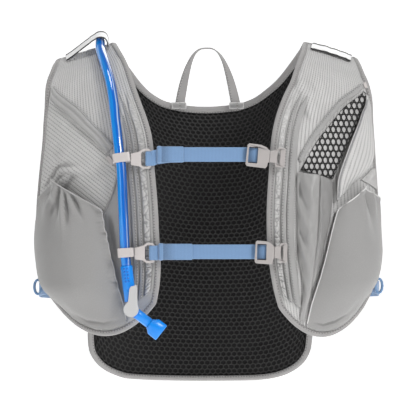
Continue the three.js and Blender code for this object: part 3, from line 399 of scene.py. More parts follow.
def top_edge(u):
    tip = SIDE_EDGE[-1]
    neck = row_at(NECK_EDGE, (u - RIDGE_CUT) / (1 - 2 * RIDGE_CUT))
    right = np.where(u > 1 - RIDGE_CUT, (1 - u) / RIDGE_CUT, 1)
    w = np.where(u < RIDGE_CUT, u / RIDGE_CUT, right)[..., None]
    end = np.stack([np.where(u < 0.5, -tip[0], tip[0]), np.full_like(u, tip[1])], -1)
    return mix(end, neck, w)


def back_point(u, w):
    v = 1 - (1 - w) ** 1.35
    t, b, side = top_edge(u), row_at(HEM_EDGE, u), row_at(SIDE_EDGE, v)[..., 0]
    share = mix(b[..., 0] / SIDE_EDGE[0][0], t[..., 0] / SIDE_EDGE[-1][0], v)
    x = HALF_WIDTH * (side * share + BACK_LEAN * (1 - v) ** 1.5)
    z = BACK_DROP * mix(b[..., 1], t[..., 1], v)
    return np.stack([x, back_y(x, z), z], -1)


def back_out(q):
    up = np.where(q[..., 2] > -0.2 * BACK_DROP, 0.06, 0)
    return np.stack([0 * q[..., 0], np.maximum(q[..., 1], 0.01), up], -1)


BACK = Form(160, 144, back_point, back_out)


# Mesh makers
def new_object(name, verts, faces, cloth=None):
    """A smooth-shaded mesh object; cloth is (across, along, extra) in millimetres for each vertex."""
    me = bpy.data.meshes.new(name)
    me.from_pydata([tuple(p) for p in np.asarray(verts, float)], [],
                   [tuple(int(i) for i in f) for f in faces])
    me.polygons.foreach_set("use_smooth", [True] * len(me.polygons))
    if cloth is not None:
        a = me.attributes.new("cloth", "FLOAT_VECTOR", "POINT")
        a.data.foreach_set("vector", np.asarray(cloth, np.float32).ravel())
    me.validate()
    bm = bmesh.new()
    bm.from_mesh(me)
    bmesh.ops.recalc_face_normals(bm, faces=bm.faces)
    bm.to_mesh(me)
    bm.free()
    ob = bpy.data.objects.new(name, me)
    bpy.context.scene.collection.objects.link(ob)
    return ob


def grid_faces(rows, cols, first=0, loop=False):
    out = []
    for j in range(rows - 1):
        for i in range(cols if loop else cols - 1):
            a, b = first + j * cols + i, first + j * cols + (i + 1) % cols
            out.append((a, b, b + cols, a + cols))
    return out


def spans(g):
    """Millimetres across and along a grid of points, measured on its middle lines."""
    across = np.concatenate([[0], np.cumsum(np.linalg.norm(np.diff(g, axis=1), axis=-1).mean(0))])
    along = np.concatenate([[0], np.cumsum(np.linalg.norm(np.diff(g, axis=0), axis=-1).mean(1))])
    return across / MM, along / MM


def rim_run(rows, cols):
    """Places on a grid's rim, in order round it."""
    first, last = [(j, 0) for j in range(rows)], [(rows - 1, i) for i in range(1, cols)]
    back = [(j, cols - 1) for j in range(rows - 2, -1, -1)]
    return first + last + back + [(0, i) for i in range(cols - 2, 0, -1)]


def cloth_piece(name, outer, inner, across=None, along=None, extra=None):
    """A cloth of real thickness with a rounded edge, from the points of its two faces."""
    outer, inner = np.asarray(outer), np.asarray(inner)
    r, c = outer.shape[:2]
    sa, sl = spans(outer)
    across = np.broadcast_to(sa[None, :], (r, c)) if across is None else across
    along = np.broadcast_to(sl[:, None], (r, c)) if along is None else along
    extra = np.zeros((r, c)) if extra is None else extra
    tags = np.stack([across, along, extra], -1).reshape(-1, 3)
    edge = rim_run(r, c)
    mid = (outer + inner) / 2
    half = np.linalg.norm(outer - inner, axis=-1) / 2
    rim = []
    for k, (j, i) in enumerate(edge):
        after, before = edge[(k + 1) % len(edge)], edge[k - 1]
        o = np.cross(mid[after] - mid[before], outer[j, i] - inner[j, i])
        o = o / max(np.linalg.norm(o), 1e-12)
        centre = mid[r // 2, c // 2]
        if r > 5 and c > 5:
            centre = mid[min(max(j, 2), r - 3), min(max(i, 2), c - 3)]
        if np.dot(o, mid[j, i] - centre) < 0:
            o = -o
        rim.append(mid[j, i] + o * half[j, i] * RIM_ROUND)
    places = np.array([j * c + i for j, i in edge])
    verts = np.concatenate([outer.reshape(-1, 3), inner.reshape(-1, 3), np.array(rim)])
    faces = grid_faces(r, c) + [f[::-1] for f in grid_faces(r, c, r * c)]
    base = 2 * r * c
    for k, a in enumerate(places):
        m = (k + 1) % len(places)
        faces.append((a, places[m], base + m, base + k))
        faces.append((base + k, base + m, r * c + places[m], r * c + a))
    ob = new_object(name, verts, faces, np.concatenate([tags, tags, tags[places]]))
    cells = np.cross(mid[1:, 1:] - mid[:-1, :-1], mid[1:, :-1] - mid[:-1, 1:])
    area = np.linalg.norm(cells, axis=-1).sum() / 2
    ob["flat"] = [float(sa[-1] * MM), float(sl[-1] * MM), float(area)]
    return ob


def sweep(name, path, across, normal, profile):
    """A profile of (across, up) points carried along a path with its own directions."""
    verts = [p + a * w + b * n for p, w, n in zip(path, across, normal) for a, b in profile]
    m, r = len(profile), len(path)
    length, around = travelled(path) / MM, travelled(np.array(profile)) / MM
    tags = [(profile[i][0] / MM, length[k], around[i]) for k in range(r) for i in range(m)]
    ends = [tuple(range(m))[::-1], tuple((r - 1) * m + i for i in range(m))]
    return new_object(name, verts, grid_faces(r, m, loop=True) + ends, tags)


def circle(radius, count):
    """Points of a round profile."""
    turns = np.linspace(0, 2 * math.pi, count, endpoint=False)
    return [(radius * math.cos(a), radius * math.sin(a)) for a in turns]


def resample(points, n):
    p = np.asarray(points, float)
    d = travelled(p)
    t = np.linspace(0, d[-1], n)
    return np.stack([np.interp(t, d, p[:, k]) for k in range(p.shape[1])], -1)


def centripetal(points, n, dense=40):
    """Points at equal steps of a centripetal curve through the given ones."""
    p = [np.asarray(q, float) for q in points]
    ctrl = [2 * p[0] - p[1]] + p + [2 * p[-1] - p[-2]]
    out = []
    for k in range(len(p) - 1):
        p0, p1, p2, p3 = ctrl[k:k + 4]
        d0, d1, d2 = (max(1e-6, np.linalg.norm(b - a) ** 0.5) for a, b in ((p0, p1), (p1, p2), (p2, p3)))
        t1 = ((p1 - p0) / d0 - (p2 - p0) / (d0 + d1) + (p2 - p1) / d1) * d1
        t2 = ((p2 - p1) / d1 - (p3 - p1) / (d1 + d2) + (p3 - p2) / d2) * d1
        for w in np.linspace(0, 1, dense, endpoint=k == len(p) - 2):
            out.append(p1 * (2 * w ** 3 - 3 * w * w + 1) + t1 * (w ** 3 - 2 * w * w + w) + p2
                       * (3 * w * w - 2 * w ** 3) + t2 * (w ** 3 - w * w))
    return resample(out, n)


def tangents(path):
    return unit(np.gradient(np.asarray(path), axis=0))


def settle(path, passes):
    p = np.array(path, float)
    for _ in range(passes):
        p[1:-1] = 0.25 * p[:-2] + 0.5 * p[1:-1] + 0.25 * p[2:]
    return p


def ribbon(name, points, width_dir, width, thick, n=None, edge=0.25, steps=9):
    """A flat tape with soft edges; width_dir may change along it."""
    p = resample(points, n) if n else np.asarray(points, float)
    t = tangents(p)
    w = np.array([width_dir(a) for a in np.linspace(0, 1, len(p))], float)
    w = unit(w - (w * t).sum(-1, keepdims=True) * t)
    s = np.linspace(-1, 1, steps)
    fall = np.clip((np.abs(s) - (1 - edge)) / edge, 0, 1)
    roll = np.sqrt(np.clip(1 - fall ** 2, 0.04, 1))
    base = p[:, None] + w[:, None] * (s * width / 2)[:, None]
    rise = np.cross(t, w)[:, None] * (roll * thick / 2)[:, None]
    return cloth_piece(name, base + rise, base - rise)


def rings(start, direction, side, rows, n, first=0):
    """Points, faces and tags of a round or oval body from (distance, radius across, radius through) rows."""
    start, d = np.asarray(start, float), unit(np.asarray(direction, float))
    w = unit(np.asarray(side, float) - np.dot(side, d) * d)
    h = np.cross(d, w)
    angles = np.linspace(0, 2 * math.pi, n, endpoint=False)
    verts, tags = [], []
    for t, rx, *more in rows:
        ry = more[0] if more else rx
        verts += [start + d * t + w * rx * math.cos(g) + h * ry * math.sin(g) for g in angles]
        tags += [(g * rx / MM, t / MM, 0) for g in angles]
    low, high = first, first + (len(rows) - 1) * n
    caps = [tuple(low + i for i in range(n))[::-1], tuple(high + i for i in range(n))]
    return verts, grid_faces(len(rows), n, first, loop=True) + caps, tags


def turned(name, start, direction, side, rows, n):
    """One turned body as a piece of its own."""
    return new_object(name, *rings(start, direction, side, rows, n))


def scattered(name, places, rows, n):
    """Many small turned bodies in one piece; places are (start, direction, side)."""
    verts, faces, tags = [], [], []
    for start, direction, side in places:
        v, f, t = rings(start, direction, side, rows, n, len(verts))
        verts, faces, tags = verts + v, faces + f, tags + t
    return new_object(name, verts, faces, tags)


def finished(ob, nodes, material, slot_name):
    """Gives a piece its material and lets it stand for its nodes on the vest; slot_name is not used."""
    ob.data.materials.clear()
    ob.data.materials.append(material)
    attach(ob, "vest")
    if nodes:
        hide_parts(*nodes)
    return ob


# Shader maths
class Sock:
    """A shader socket that takes part in arithmetic."""

    def __init__(self, finish, out):
        self.finish, self.out = finish, out

    def _do(self, operation, *values):
        return self.finish.make("ShaderNodeMath", {"operation": operation}, dict(enumerate(values)))

    def __add__(self, other):
        return self._do("ADD", self, other)

    def __radd__(self, other):
        return self._do("ADD", other, self)

    def __sub__(self, other):
        return self._do("SUBTRACT", self, other)

    def __rsub__(self, other):
        return self._do("SUBTRACT", other, self)

    def __mul__(self, other):
        return self._do("MULTIPLY", self, other)

    def __rmul__(self, other):
        return self._do("MULTIPLY", other, self)

    def __truediv__(self, other):
        return self._do("DIVIDE", self, other)

    def __rtruediv__(self, other):
        return self._do("DIVIDE", other, self)

    def __abs__(self):
        return self._do("ABSOLUTE", self)

    def fract(self):
        return self._do("FRACT", self)

    def floor(self):
        return self._do("FLOOR", self)

    def beside(self, place):
        """Another output of the same node."""
        return Sock(self.finish, self.out.node.outputs[place])

    def between(self, low, high, start=0.0, end=1.0):
        """Goes smoothly from start to end while this goes from low to high."""
        values = {0: self, 1: low, 2: high, 3: start, 4: end}
        return self.finish.make("ShaderNodeMapRange", {"interpolation_type": "SMOOTHSTEP"}, values)


class Finish:
    """One material and the nodes that make it."""

    def __init__(self, name):
        self.mat = bpy.data.materials.new(name)
        self.mat.use_nodes = True
        self.tree = self.mat.node_tree
        self.tree.nodes.clear()

    def make(self, kind, settings=None, values=None, out=0):
        """A node with its settings, then the values or links of its sockets."""
        node = self.tree.nodes.new(kind)
        for key, value in (settings or {}).items():
            setattr(node, key, value)
        for key, value in (values or {}).items():
            if isinstance(value, Sock):
                self.tree.links.new(value.out, node.inputs[key])
            else:
                node.inputs[key].default_value = value
        return Sock(self, node.outputs[out]) if len(node.outputs) else None

    def cloth(self):
        """The cloth's attribute, its millimetres across and along the piece, and its extra tag, which on most
        cloth pieces carries their painted shade.
        """
        v = self.make("ShaderNodeAttribute", {"attribute_type": "GEOMETRY", "attribute_name": "cloth"},
                      out=1)
        x = self.make("ShaderNodeSeparateXYZ", values={0: v})
        return v, x, x.beside(1), x.beside(2)

    def place(self):
        return self.make("ShaderNodeTexCoord", out=3)

    def noise(self, where, scale, detail=2.0, rough=0.5):
        values = {"Vector": where, "Scale": scale, "Detail": detail, "Roughness": rough}
        return self.make("ShaderNodeTexNoise", values=values)

    def tones(self, factor, a, b):
        return self.make("ShaderNodeMix", {"data_type": "RGBA"}, {0: factor, 6: rgba(a), 7: rgba(b)},
                         out=2)

    def stretch(self, vector, scale):
        return self.make("ShaderNodeVectorMath", {"operation": "MULTIPLY"}, {0: vector, 1: scale})

    def close(self, color, rough, bump=None, depth=0.0003, **fixed):
        """Ends the material in one surface; fixed holds plain values of its other sockets."""
        values = {"Base Color": rgba(color), "Roughness": rough}
        if bump is not None:
            heights = {"Height": bump, "Strength": 1.0, "Distance": depth}
            values["Normal"] = self.make("ShaderNodeBump", values=heights)
        values.update({k.replace("_", " "): v for k, v in fixed.items()})
        shader = self.make("ShaderNodeBsdfPrincipled", values=values)
        self.make("ShaderNodeOutputMaterial", values={"Surface": shader})
        return self.mat


def rgba(color):
    """A colour, or a socket, as a colour socket takes it."""
    return color if isinstance(color, Sock) else (*color[:3], 1)


def tone(r, g, b):
    """A linear colour from the 0 to 255 values that a screen shows."""
    return tuple(((c / 255 + 0.055) / 1.055) ** 2.4 if c > 10 else c / 255 / 12.92 for c in (r, g, b))


def times(color, k):
    return tuple(c * k for c in color[:3])


def ribbed_cloth(name, color, pitch, dots):
    """Grey cloth with close rows of small stitches, as on the panels."""
    f = Finish(name)
    v, x, y, painted_shade = f.cloth()
    line = abs((x / pitch).fract() - 0.5)
    row = (x / pitch).floor()
    dash = abs((y / dots + row * 0.5).fract() - 0.5)
    groove = line.between(0.22, 0.04)
    stitch = groove * dash.between(0.10, 0.28)
    cloud = f.noise(f.place(), 60.0, 3.0, 0.6)
    weave = f.noise(f.stretch(v, (2.4, 0.9, 1.0)), 1.0, 1.0)
    shade = f.tones(stitch * 0.62 + groove * 0.05, times(color, 1.08), times(color, 0.42))
    # Painted shade: darker where the extra tag marks fold hollows and other shaded places.
    shade = f.tones(painted_shade.between(0.05, 1.0) * 0.75, shade, times(color, 0.3))
    shade = f.tones(cloud.between(0.35, 0.65) * 0.16, shade, times(color, 0.72))
    shade = f.tones(weave.between(0.3, 0.7) * 0.12, shade, times(color, 1.25))
    return f.close(shade, 0.86, (0 - stitch) * 0.6 - groove * 0.3 + weave * 0.3, 0.0006,
                   Sheen_Weight=0.15, Sheen_Roughness=0.5)


def stretch_cloth(name, color):
    """Smooth knitted cloth with a fine speckle."""
    f = Finish(name)
    v, x, y, painted_shade = f.cloth()
    knit = abs((x / 0.9).fract() - 0.5) + abs((y / 0.8 + x * 0.4).fract() - 0.5)
    speck = f.noise(f.stretch(v, (1.1, 0.8, 1.0)), 1.0, 2.0, 0.7)
    cloud = f.noise(f.place(), 22.0, 3.0, 0.55)
    shade = f.tones(speck.between(0.55, 0.75) * 0.4, color, times(color, 1.5))
    shade = f.tones(speck.between(0.45, 0.3) * 0.25, shade, times(color, 0.7))
    # Painted shade: darker where the extra tag marks fold hollows and other shaded places.
    shade = f.tones(painted_shade.between(0.05, 1.0) * 0.7, shade, times(color, 0.3))
    shade = f.tones(cloud.between(0.3, 0.7) * 0.14, shade, times(color, 0.78))
    return f.close(shade, 0.88, knit * 0.35 + speck * 0.4, 0.00035, Sheen_Weight=0.35,
                   Sheen_Roughness=0.45)


def satin_cloth(name, color):
    """Thin coated nylon that shines at its creases."""
    f = Finish(name)
    v, _, _, painted_shade = f.cloth()
    crush = f.noise(f.stretch(v, (0.10, 0.035, 1.0)), 1.0, 3.0, 0.5)
    fine = f.noise(f.stretch(v, (0.7, 0.5, 1.0)), 1.0, 2.0)
    shade = f.tones(crush.between(0.35, 0.65) * 0.25, times(color, 1.08), times(color, 0.78))
    # Painted shade: darker where the extra tag marks fold hollows and other shaded places.
    shade = f.tones(painted_shade.between(0.05, 1.0) * 0.8, shade, times(color, 0.28))
    return f.close(shade, crush.between(0.3, 0.7, 0.30, 0.44), crush * 0.8 + fine * 0.12, 0.0012,
                   Specular_IOR_Level=0.75)


def trim_tape(name, color, stitch_at, pitch=3.1):
    """Folded edge tape with fine cross ribs and one row of stitches."""
    f = Finish(name)
    _, x, y, _ = f.cloth()
    rib = abs((y / 0.7).fract() - 0.5)
    dash = abs((y / pitch).fract() - 0.5)
    near = abs(x - stitch_at)
    sewn = near.between(0.85, 0.45)
    thread = sewn * dash.between(0.34, 0.24)
    hole = sewn * dash.between(0.33, 0.42)
    cloud = f.noise(f.place(), 90.0, 3.0, 0.6)
    shade = f.tones(cloud.between(0.3, 0.7) * 0.2, color, times(color, 0.8))
    # Painted shade in the sunk needle holes between the stitches.
    shade = f.tones(hole * 0.75, shade, times(color, 0.38))
    shade = f.tones(thread * 0.35, shade, times(color, 1.35))
    return f.close(shade, 0.84, rib * 0.3 + thread * 0.9 - hole * 1.2 + cloud * 0.3, 0.0005,
                   Sheen_Weight=0.25)


def webbing_cloth(name, color):
    """Flat woven strap: cross ribs and twill flecks."""
    f = Finish(name)
    v, x, y, painted_shade = f.cloth()
    rib = abs((y / 1.5).fract() - 0.5)
    twill = abs((y / 1.1 + x / 1.4).fract() - 0.5)
    fleck = f.noise(f.stretch(v, (0.9, 2.2, 1.0)), 1.0, 2.0)
    shade = f.tones(rib.between(0.1, 0.45) * 0.35, times(color, 1.06), times(color, 0.66))
    # Painted shade: darker along the lines that the extra tag marks on the strap's fold.
    shade = f.tones(painted_shade.between(0.1, 0.9) * 0.6, shade, times(color, 0.35))
    shade = f.tones(fleck.between(0.4, 0.75) * 0.25, shade, times(color, 1.35))
    return f.close(shade, 0.8, rib * 0.8 + twill * 0.5 + fleck * 0.3, 0.0004, Sheen_Weight=0.35)


def mesh_pad(name, color, bright):
    """Black spacer mesh: dull ribs, and cells that painted shade turns near black."""
    f = Finish(name)
    v, _, _, painted_shade = f.cloth()
    fuzz = f.noise(f.stretch(v, (1.6, 1.6, 1.0)), 1.0, 2.0)
    # Painted shade: where the extra tag marks a cell's floor or the pad behind the cells, the colour is the
    # near-black cell colour.
    shade = f.tones(painted_shade.between(0.2, 0.8), bright, color)
    shade = f.tones(fuzz.between(0.4, 0.7) * 0.4, shade, times(bright, 0.7))
    return f.close(shade, 0.72, fuzz, 0.0003, Sheen_Weight=0.06)


def moulded(name, color, rough=0.42):
    """Moulded plastic with a faint grain."""
    f = Finish(name)
    where = f.place()
    grain = f.noise(where, 900.0, 2.0)
    cloud = f.noise(where, 40.0, 2.0)
    shade = f.tones(cloud.between(0.35, 0.65) * 0.25, color, times(color, 0.86))
    return f.close(shade, cloud.between(0.3, 0.7, rough - 0.05, rough + 0.07), grain, 0.00008,
                   Specular_IOR_Level=0.5, Coat_Weight=0.08)


def clear_tube(name, color, bright):
    """Glossy tinted tube with painted light: a paler lit band and a darker shaded band round it, a thin
    painted white highlight and soft paler lengthwise streaks as painted highlights.
    """
    f = Finish(name)
    v, _, _, around = f.cloth()
    wander = (f.noise(f.stretch(v, (0.0, 0.012, 0.0)), 1.0, 2.0) - 0.5) * 5.0
    streak = f.noise(f.stretch(v, (0.02, 0.008, 0.9)), 1.0, 2.0)
    turn = around + wander
    # Painted light: the band round the tube that faces the lamps takes the lit colour bright, and the band on
    # the far side is painted darker as shade.
    pale = turn.between(15.5, 18.0) * turn.between(24.5, 21.5)
    dark = turn.between(25.5, 28.0) * turn.between(33.5, 31.5)
    shade = f.tones(pale * 0.85, color, bright)
    shade = f.tones(dark * 0.8, shade, times(color, 0.55))
    # Painted highlight: a thin near-white line along the tube, broken up by the streak noise.
    painted_highlight = turn.between(26.0, 26.6) * turn.between(28.2, 27.5)
    shade = f.tones(painted_highlight * streak.between(0.35, 0.6) * 0.75, shade, tone(225, 240, 255))
    # Painted highlight: soft paler lengthwise streaks.
    shade = f.tones(streak.between(0.45, 0.65) * 0.3, shade, times(bright, 0.9))
    return f.close(shade, streak.between(0.3, 0.7, 0.07, 0.12), None, 0, Specular_IOR_Level=0.6,
                   Coat_Weight=0.6, Coat_Roughness=0.04)


def soft_rubber(name, color, rough=0.3):
    """Smooth rubber with a soft sheen."""
    f = Finish(name)
    where = f.place()
    cloud = f.noise(where, 55.0, 2.0)
    grain = f.noise(where, 700.0, 1.0)
    shade = f.tones(cloud.between(0.3, 0.7) * 0.3, color, times(color, 0.78))
    return f.close(shade, cloud.between(0.3, 0.7, rough - 0.05, rough + 0.1), grain, 0.00006,
                   Coat_Weight=0.25, Coat_Roughness=0.2)


def white_tape(name, color, edge):
    """Shiny white band with a dark rim along each edge, wider along the far one."""
    f = Finish(name)
    _, x, y, _ = f.cloth()
    far = BAND_W / MM - BAND_FAR_RIM
    line = x.between(BAND_RIM + RIM_SOFT, BAND_RIM) + x.between(far - RIM_SOFT, far)
    fine = abs((y / 0.8).fract() - 0.5)
    shade = f.tones(line, color, edge)
    return f.close(shade, 0.5, fine * 0.4, 0.0002, Specular_IOR_Level=0.5)


# What a user may change
def colour(name, description, *screen):
    """A colour that the panel offers, from the 0 to 255 values that a screen shows."""
    return bpy.props.FloatVectorProperty(
        name=name, description=description, subtype="COLOR", size=3, min=0, max=1, default=tone(*screen))


def length(name, description, low, high, default):
    """A length in metres that the panel offers."""
    return bpy.props.FloatProperty(
        name=name, description=description, unit="LENGTH", min=low, max=high, default=default)


class VestColours(bpy.types.PropertyGroup):
    panel: colour("Panels", "Ribbed cloth of the front panels and the back", 190, 189, 188)
    stretch: colour("Stretch pouches", "Knitted cloth of the two front pouches", 152, 151, 150)
    satin: colour("Satin pockets", "Coated nylon of the flask pocket and the bands", 150, 149, 148)
    trim: colour("Edge tape", "Binding along every edge", 158, 156, 155)
    # The cell colour is painted shade inside the spacer mesh's open cells and on the pad behind them.
    mesh: colour("Mesh cells", "Depth of the spacer mesh", 12, 12, 12)
    mesh_rib: colour("Mesh ribs", "Threads of the spacer mesh and the net", 47, 46, 46)
    webbing: colour("Webbing", "Chest and side straps", 114, 147, 186)
    tube: colour("Drinking tube", "Tinted wall of the tube", 0, 98, 196)
    valve: colour("Bite valve", "Rubber of the valve and its sleeve", 0, 140, 240)
    plastic: colour("Buckles", "Moulded buckles and clips", 198, 192, 190)
    lever: colour("Valve lever", "Shut-off lever of the bite valve", 196, 196, 196)
    band: colour("Shoulder bands", "White keeper bands", 238, 238, 238)


class VestSizes(bpy.types.PropertyGroup):
    rib_pitch: length("Rib spacing", "Distance between the panels' stitched rows", 0.001, 0.01, 0.0037)
    cell: length("Mesh cell", "Width of one cell of the spacer mesh", 0.003, 0.02, 0.0062)
    net_hole: length("Net hole", "Spacing of the holes in the pocket net", 0.003, 0.02, 0.0060)
    stitch: length("Stitch length", "Pitch of the edge tape's stitches", 0.001, 0.01, 0.0031)
    crease: bpy.props.FloatProperty(
        name="Crease depth", description="Multiplies the height of every fold", subtype="FACTOR",
        min=0.0, max=2.0, default=1.6)


MATERIALS = {}


def looks(context):
    """The vest's materials, made once."""
    if MATERIALS:
        return MATERIALS
    c, s = context.scene.vest_colours, context.scene.vest_sizes
    pitch, stitch = s.rib_pitch / MM, s.stitch / MM
    for name, maker, *values in (
            ("panel_cloth", ribbed_cloth, c.panel, pitch, 2.6),
            ("cover_cloth", ribbed_cloth, times(c.panel, 1.06), pitch * 1.25, 2.4),
            ("pouch_knit", stretch_cloth, c.stretch),
            ("facing_cloth", stretch_cloth, times(c.panel, 0.80)),
            ("pale_lining", stretch_cloth, times(c.panel, 1.15)),
            ("soft_edge", trim_tape, times(c.stretch, 1.35), 9.0, stitch),
            ("buckle_plastic", moulded, times(c.plastic, 0.74)),
            ("satin_nylon", satin_cloth, c.satin),
            # A lighter copy of the satin: painted highlight for the gathered band's crinkles; the corner tab
            # uses it too.
            ("gathered_satin", satin_cloth, times(c.satin, 1.45)),
            ("zip_metal", moulded, tone(150, 150, 153), 0.25),
            ("edge_tape", trim_tape, c.trim, 1.5, stitch),
            ("piping_tape", trim_tape, times(c.panel, 1.3), 9.0, stitch),
            ("rib_tape", trim_tape, times(c.panel, 0.70), 0.9, stitch),
            ("loop_tape", trim_tape, times(c.trim, 1.05), 1.6, stitch),
            ("blue_webbing", webbing_cloth, c.webbing),
            ("spacer_mesh", mesh_pad, c.mesh, c.mesh_rib),
            ("pocket_net", mesh_pad, times(c.mesh, 1.5), times(c.mesh_rib, 0.7)),
            # The tube's second colour is its painted lit side.
            ("tinted_tube", clear_tube, c.tube, tone(0, 146, 236)),
            ("valve_rubber", soft_rubber, c.valve),
            ("moulded_plastic", moulded, c.plastic),
            ("lever_plastic", moulded, c.lever, 0.36),
            ("white_band", white_tape, c.band, tone(30, 30, 30))):
        MATERIALS[name] = maker(name, *values)
    return MATERIALS


# Folds
def folds(points, table, sign):
    """Height of folds; a table's rows are x, z to x, z as shares, then width and height in millimetres."""
    x, z = sign * points[..., 0], points[..., 2]
    out = np.zeros(x.shape)
    for x0, z0, x1, z1, width, height in table:
        a = np.array([x0 * HALF_WIDTH, z0 * FRONT_DROP])
        b = np.array([x1 * HALF_WIDTH, z1 * FRONT_DROP])
        d = b - a
        t = ((x - a[0]) * d[0] + (z - a[1]) * d[1]) / (d @ d)
        e = np.hypot(x - a[0] - d[0] * clamp(t), z - a[1] - d[1] * clamp(t)) / (width * MM)
        fade = smooth((1 - clamp(t)) / 0.75) * smooth((clamp(t) + 0.2) / 0.4)
        out += height * MM * np.exp(-e ** 2) * fade
    return out


LEFT_PANEL_FOLDS = [
    (0.740, -0.420, 0.910, -0.425, 3.4, 2.0), (0.800, -0.440, 0.965, -0.560, 3.2, 3.4),
    (0.850, -0.400, 0.965, -0.500, 2.6, -1.7),
    (0.800, -0.360, 0.945, -0.430, 4.0, 1.3),
    (0.500, -0.150, 0.470, -0.400, 3.2, 1.0), (0.560, -0.580, 0.500, -0.800, 4.5, -1.2),
]
RIGHT_PANEL_FOLDS = [
    (0.500, -0.105, 0.640, -0.200, 5.0, 1.8), (0.520, -0.180, 0.610, -0.300, 6.0, -1.2),
    (0.600, -0.030, 0.660, -0.160, 6.0, 1.0),
]
LEFT_POUCH_FOLDS = [
    (0.834, -0.452, 0.740, -0.600, 3.0, 2.8), (0.834, -0.452, 0.790, -0.640, 2.6, -2.4),
    (0.834, -0.452, 0.835, -0.700, 3.0, 2.6),
    (0.850, -0.460, 0.880, -0.640, 2.4, -2.4), (0.870, -0.470, 0.935, -0.600, 3.0, 3.0),
    (0.800, -0.480, 0.690, -0.620, 3.0, -2.0),
    (0.834, -0.470, 0.720, -0.570, 4.0, -1.3), (0.920, -0.520, 0.945, -0.620, 4.0, 1.5),
    (0.870, -0.490, 0.900, -0.600, 3.0, -1.3),
]
RIGHT_POUCH_FOLDS = [
    (0.880, -0.475, 0.950, -0.620, 2.6, -2.4), (0.860, -0.470, 0.905, -0.640, 4.0, 1.6),
    (0.935, -0.500, 0.955, -0.600, 2.2, 1.8),
    (0.760, -0.505, 0.790, -0.640, 5.0, 0.9),
]
FLASK_FOLDS = [
    (0.590, -0.430, 0.545, -0.760, 4.5, 1.3), (0.520, -0.430, 0.505, -0.620, 3.8, -0.9),
    (0.530, -0.440, 0.618, -0.580, 3.6, 1.3), (0.505, -0.470, 0.606, -0.640, 3.2, -1.2),
    (0.500, -0.545, 0.612, -0.690, 3.4, 1.4),
    (0.500, -0.615, 0.602, -0.745, 3.0, -1.2), (0.505, -0.675, 0.596, -0.790, 3.2, 1.4),
    (0.510, -0.735, 0.588, -0.840, 2.8, -1.1),
    (0.512, -0.790, 0.578, -0.880, 2.8, 1.2), (0.640, -0.560, 0.615, -0.720, 2.6, 1.2),
    (0.655, -0.500, 0.640, -0.620, 2.4, -1.0),
]

FLASK_SEAM = [(0.632, -0.425), (0.626, -0.560), (0.616, -0.660), (0.594, -0.800), (0.562, -0.960)]
LOW_FOLDS = {
    "left": [(0.500, -0.935), (0.600, -0.952), (0.700, -0.944), (0.790, -0.915), (0.860, -0.872)],
    "right": [(0.570, -0.945), (0.650, -0.958), (0.720, -0.946), (0.790, -0.921), (0.880, -0.862)],
}
FACING_EDGE = [(0.505, -0.352), (0.512, -0.430), (0.540, -0.500), (0.584, -0.566), (0.600, -0.640)]


def groove(points, line, sign, width, depth, tapered=False):
    """Height of a long sunk line through points of the front view; width and depth in millimetres."""
    x, z = sign * points[..., 0], points[..., 2]
    route = np.array(line) * (HALF_WIDTH, FRONT_DROP)
    near, along = np.full(x.shape, np.inf), np.zeros(x.shape)
    for k, (a, b) in enumerate(zip(route, route[1:])):
        d = b - a
        t = clamp(((x - a[0]) * d[0] + (z - a[1]) * d[1]) / (d @ d))
        far = np.hypot(x - a[0] - d[0] * t, z - a[1] - d[1] * t)
        along = np.where(far < near, (k + t) / (len(route) - 1), along)
        near = np.minimum(near, far)
    taper = np.sin(math.pi * along) if tapered else 1
    return -depth * MM * taper * np.exp(-(near / (width * MM)) ** 2)


def patch_grid(form, rows, cols, steps, lift):
    """Points of a patch on a form; rows bottom to top of (u, v), read smoothly along and straight across."""
    ss, tt = shares(cols, steps)
    q = row_at([[c for p in r for c in p] for r in rows], tt[:, 0]).reshape(steps + 1, -1, 2)
    n = q.shape[1] - 1
    k = np.minimum(n - 1, np.floor(ss[0] * n)).astype(int)
    uv = mix(q[:, k], q[:, k + 1], (ss[0] * n - k)[None, :, None])
    return form.at(uv[..., 0], uv[..., 1], lift(ss, tt))


def patch_faces(form, rows, cols, steps, lift, thick):
    """Points of a patch's lower and upper face."""
    low = patch_grid(form, rows, cols, steps, lift)
    return low, patch_grid(form, rows, cols, steps, lambda s, t: lift(s, t) + thick)


def patch(name, form, rows, cols, steps, lift, thick, crease=None, rim=None, shade=None):
    """A cloth patch between two heights over a form, with its folds, its free rim and its shaded places."""
    ss, tt = shares(cols, steps)
    low, high = patch_faces(form, rows, cols, steps, lift, thick)
    n = unit(high - low)
    dark = None
    if crease is not None:
        sewn = smooth(np.minimum(np.minimum(ss, 1 - ss) / 0.05, tt / 0.03))
        up = crease(high, ss, tt) * (sewn * mix(1, 0.6, smooth((tt - 0.93) / 0.07)))
        up = up + (rim(high, ss, tt) if rim else 0)
        high, low = high + n * up[..., None], low + n * up[..., None]
        # Painted shade: the fold hollows, and the places that shade marks, go into the extra tag to darken
        # the colour.
        dark = painted_fold_shade(up) if shade is None else np.maximum(painted_fold_shade(up), shade(high))
    return cloth_piece(name, high, low, extra=dark)


def painted_fold_shade(up):
    """Painted shade for the fold hollows: how far down in a fold each point lies against what is round it, 0
    to 1.
    """
    soft = up.copy()
    for _ in range(14):
        pad = np.pad(soft, 1, mode="edge")
        soft = (pad[:-2, 1:-1] + pad[2:, 1:-1] + pad[1:-1, :-2] + pad[1:-1, 2:]) / 4
    return smooth((soft - up) / (0.75 * MM)) * 0.7


def pouch_lift(s, t):
    belly = np.sin(math.pi * clamp(0.04 + 0.92 * s)) ** 0.8 * smooth(t / 0.38 + 0.05)
    closed = smooth((s - 0.42) / 0.25) * smooth((t - 0.55) / 0.45)
    fuller = POUCH_BULGE * (belly - 0.13) * (1 - closed) * mix(1, 0.62, smooth((t - 0.5) / 0.5))
    return TOP + fuller + POUCH_BULGE * 0.13


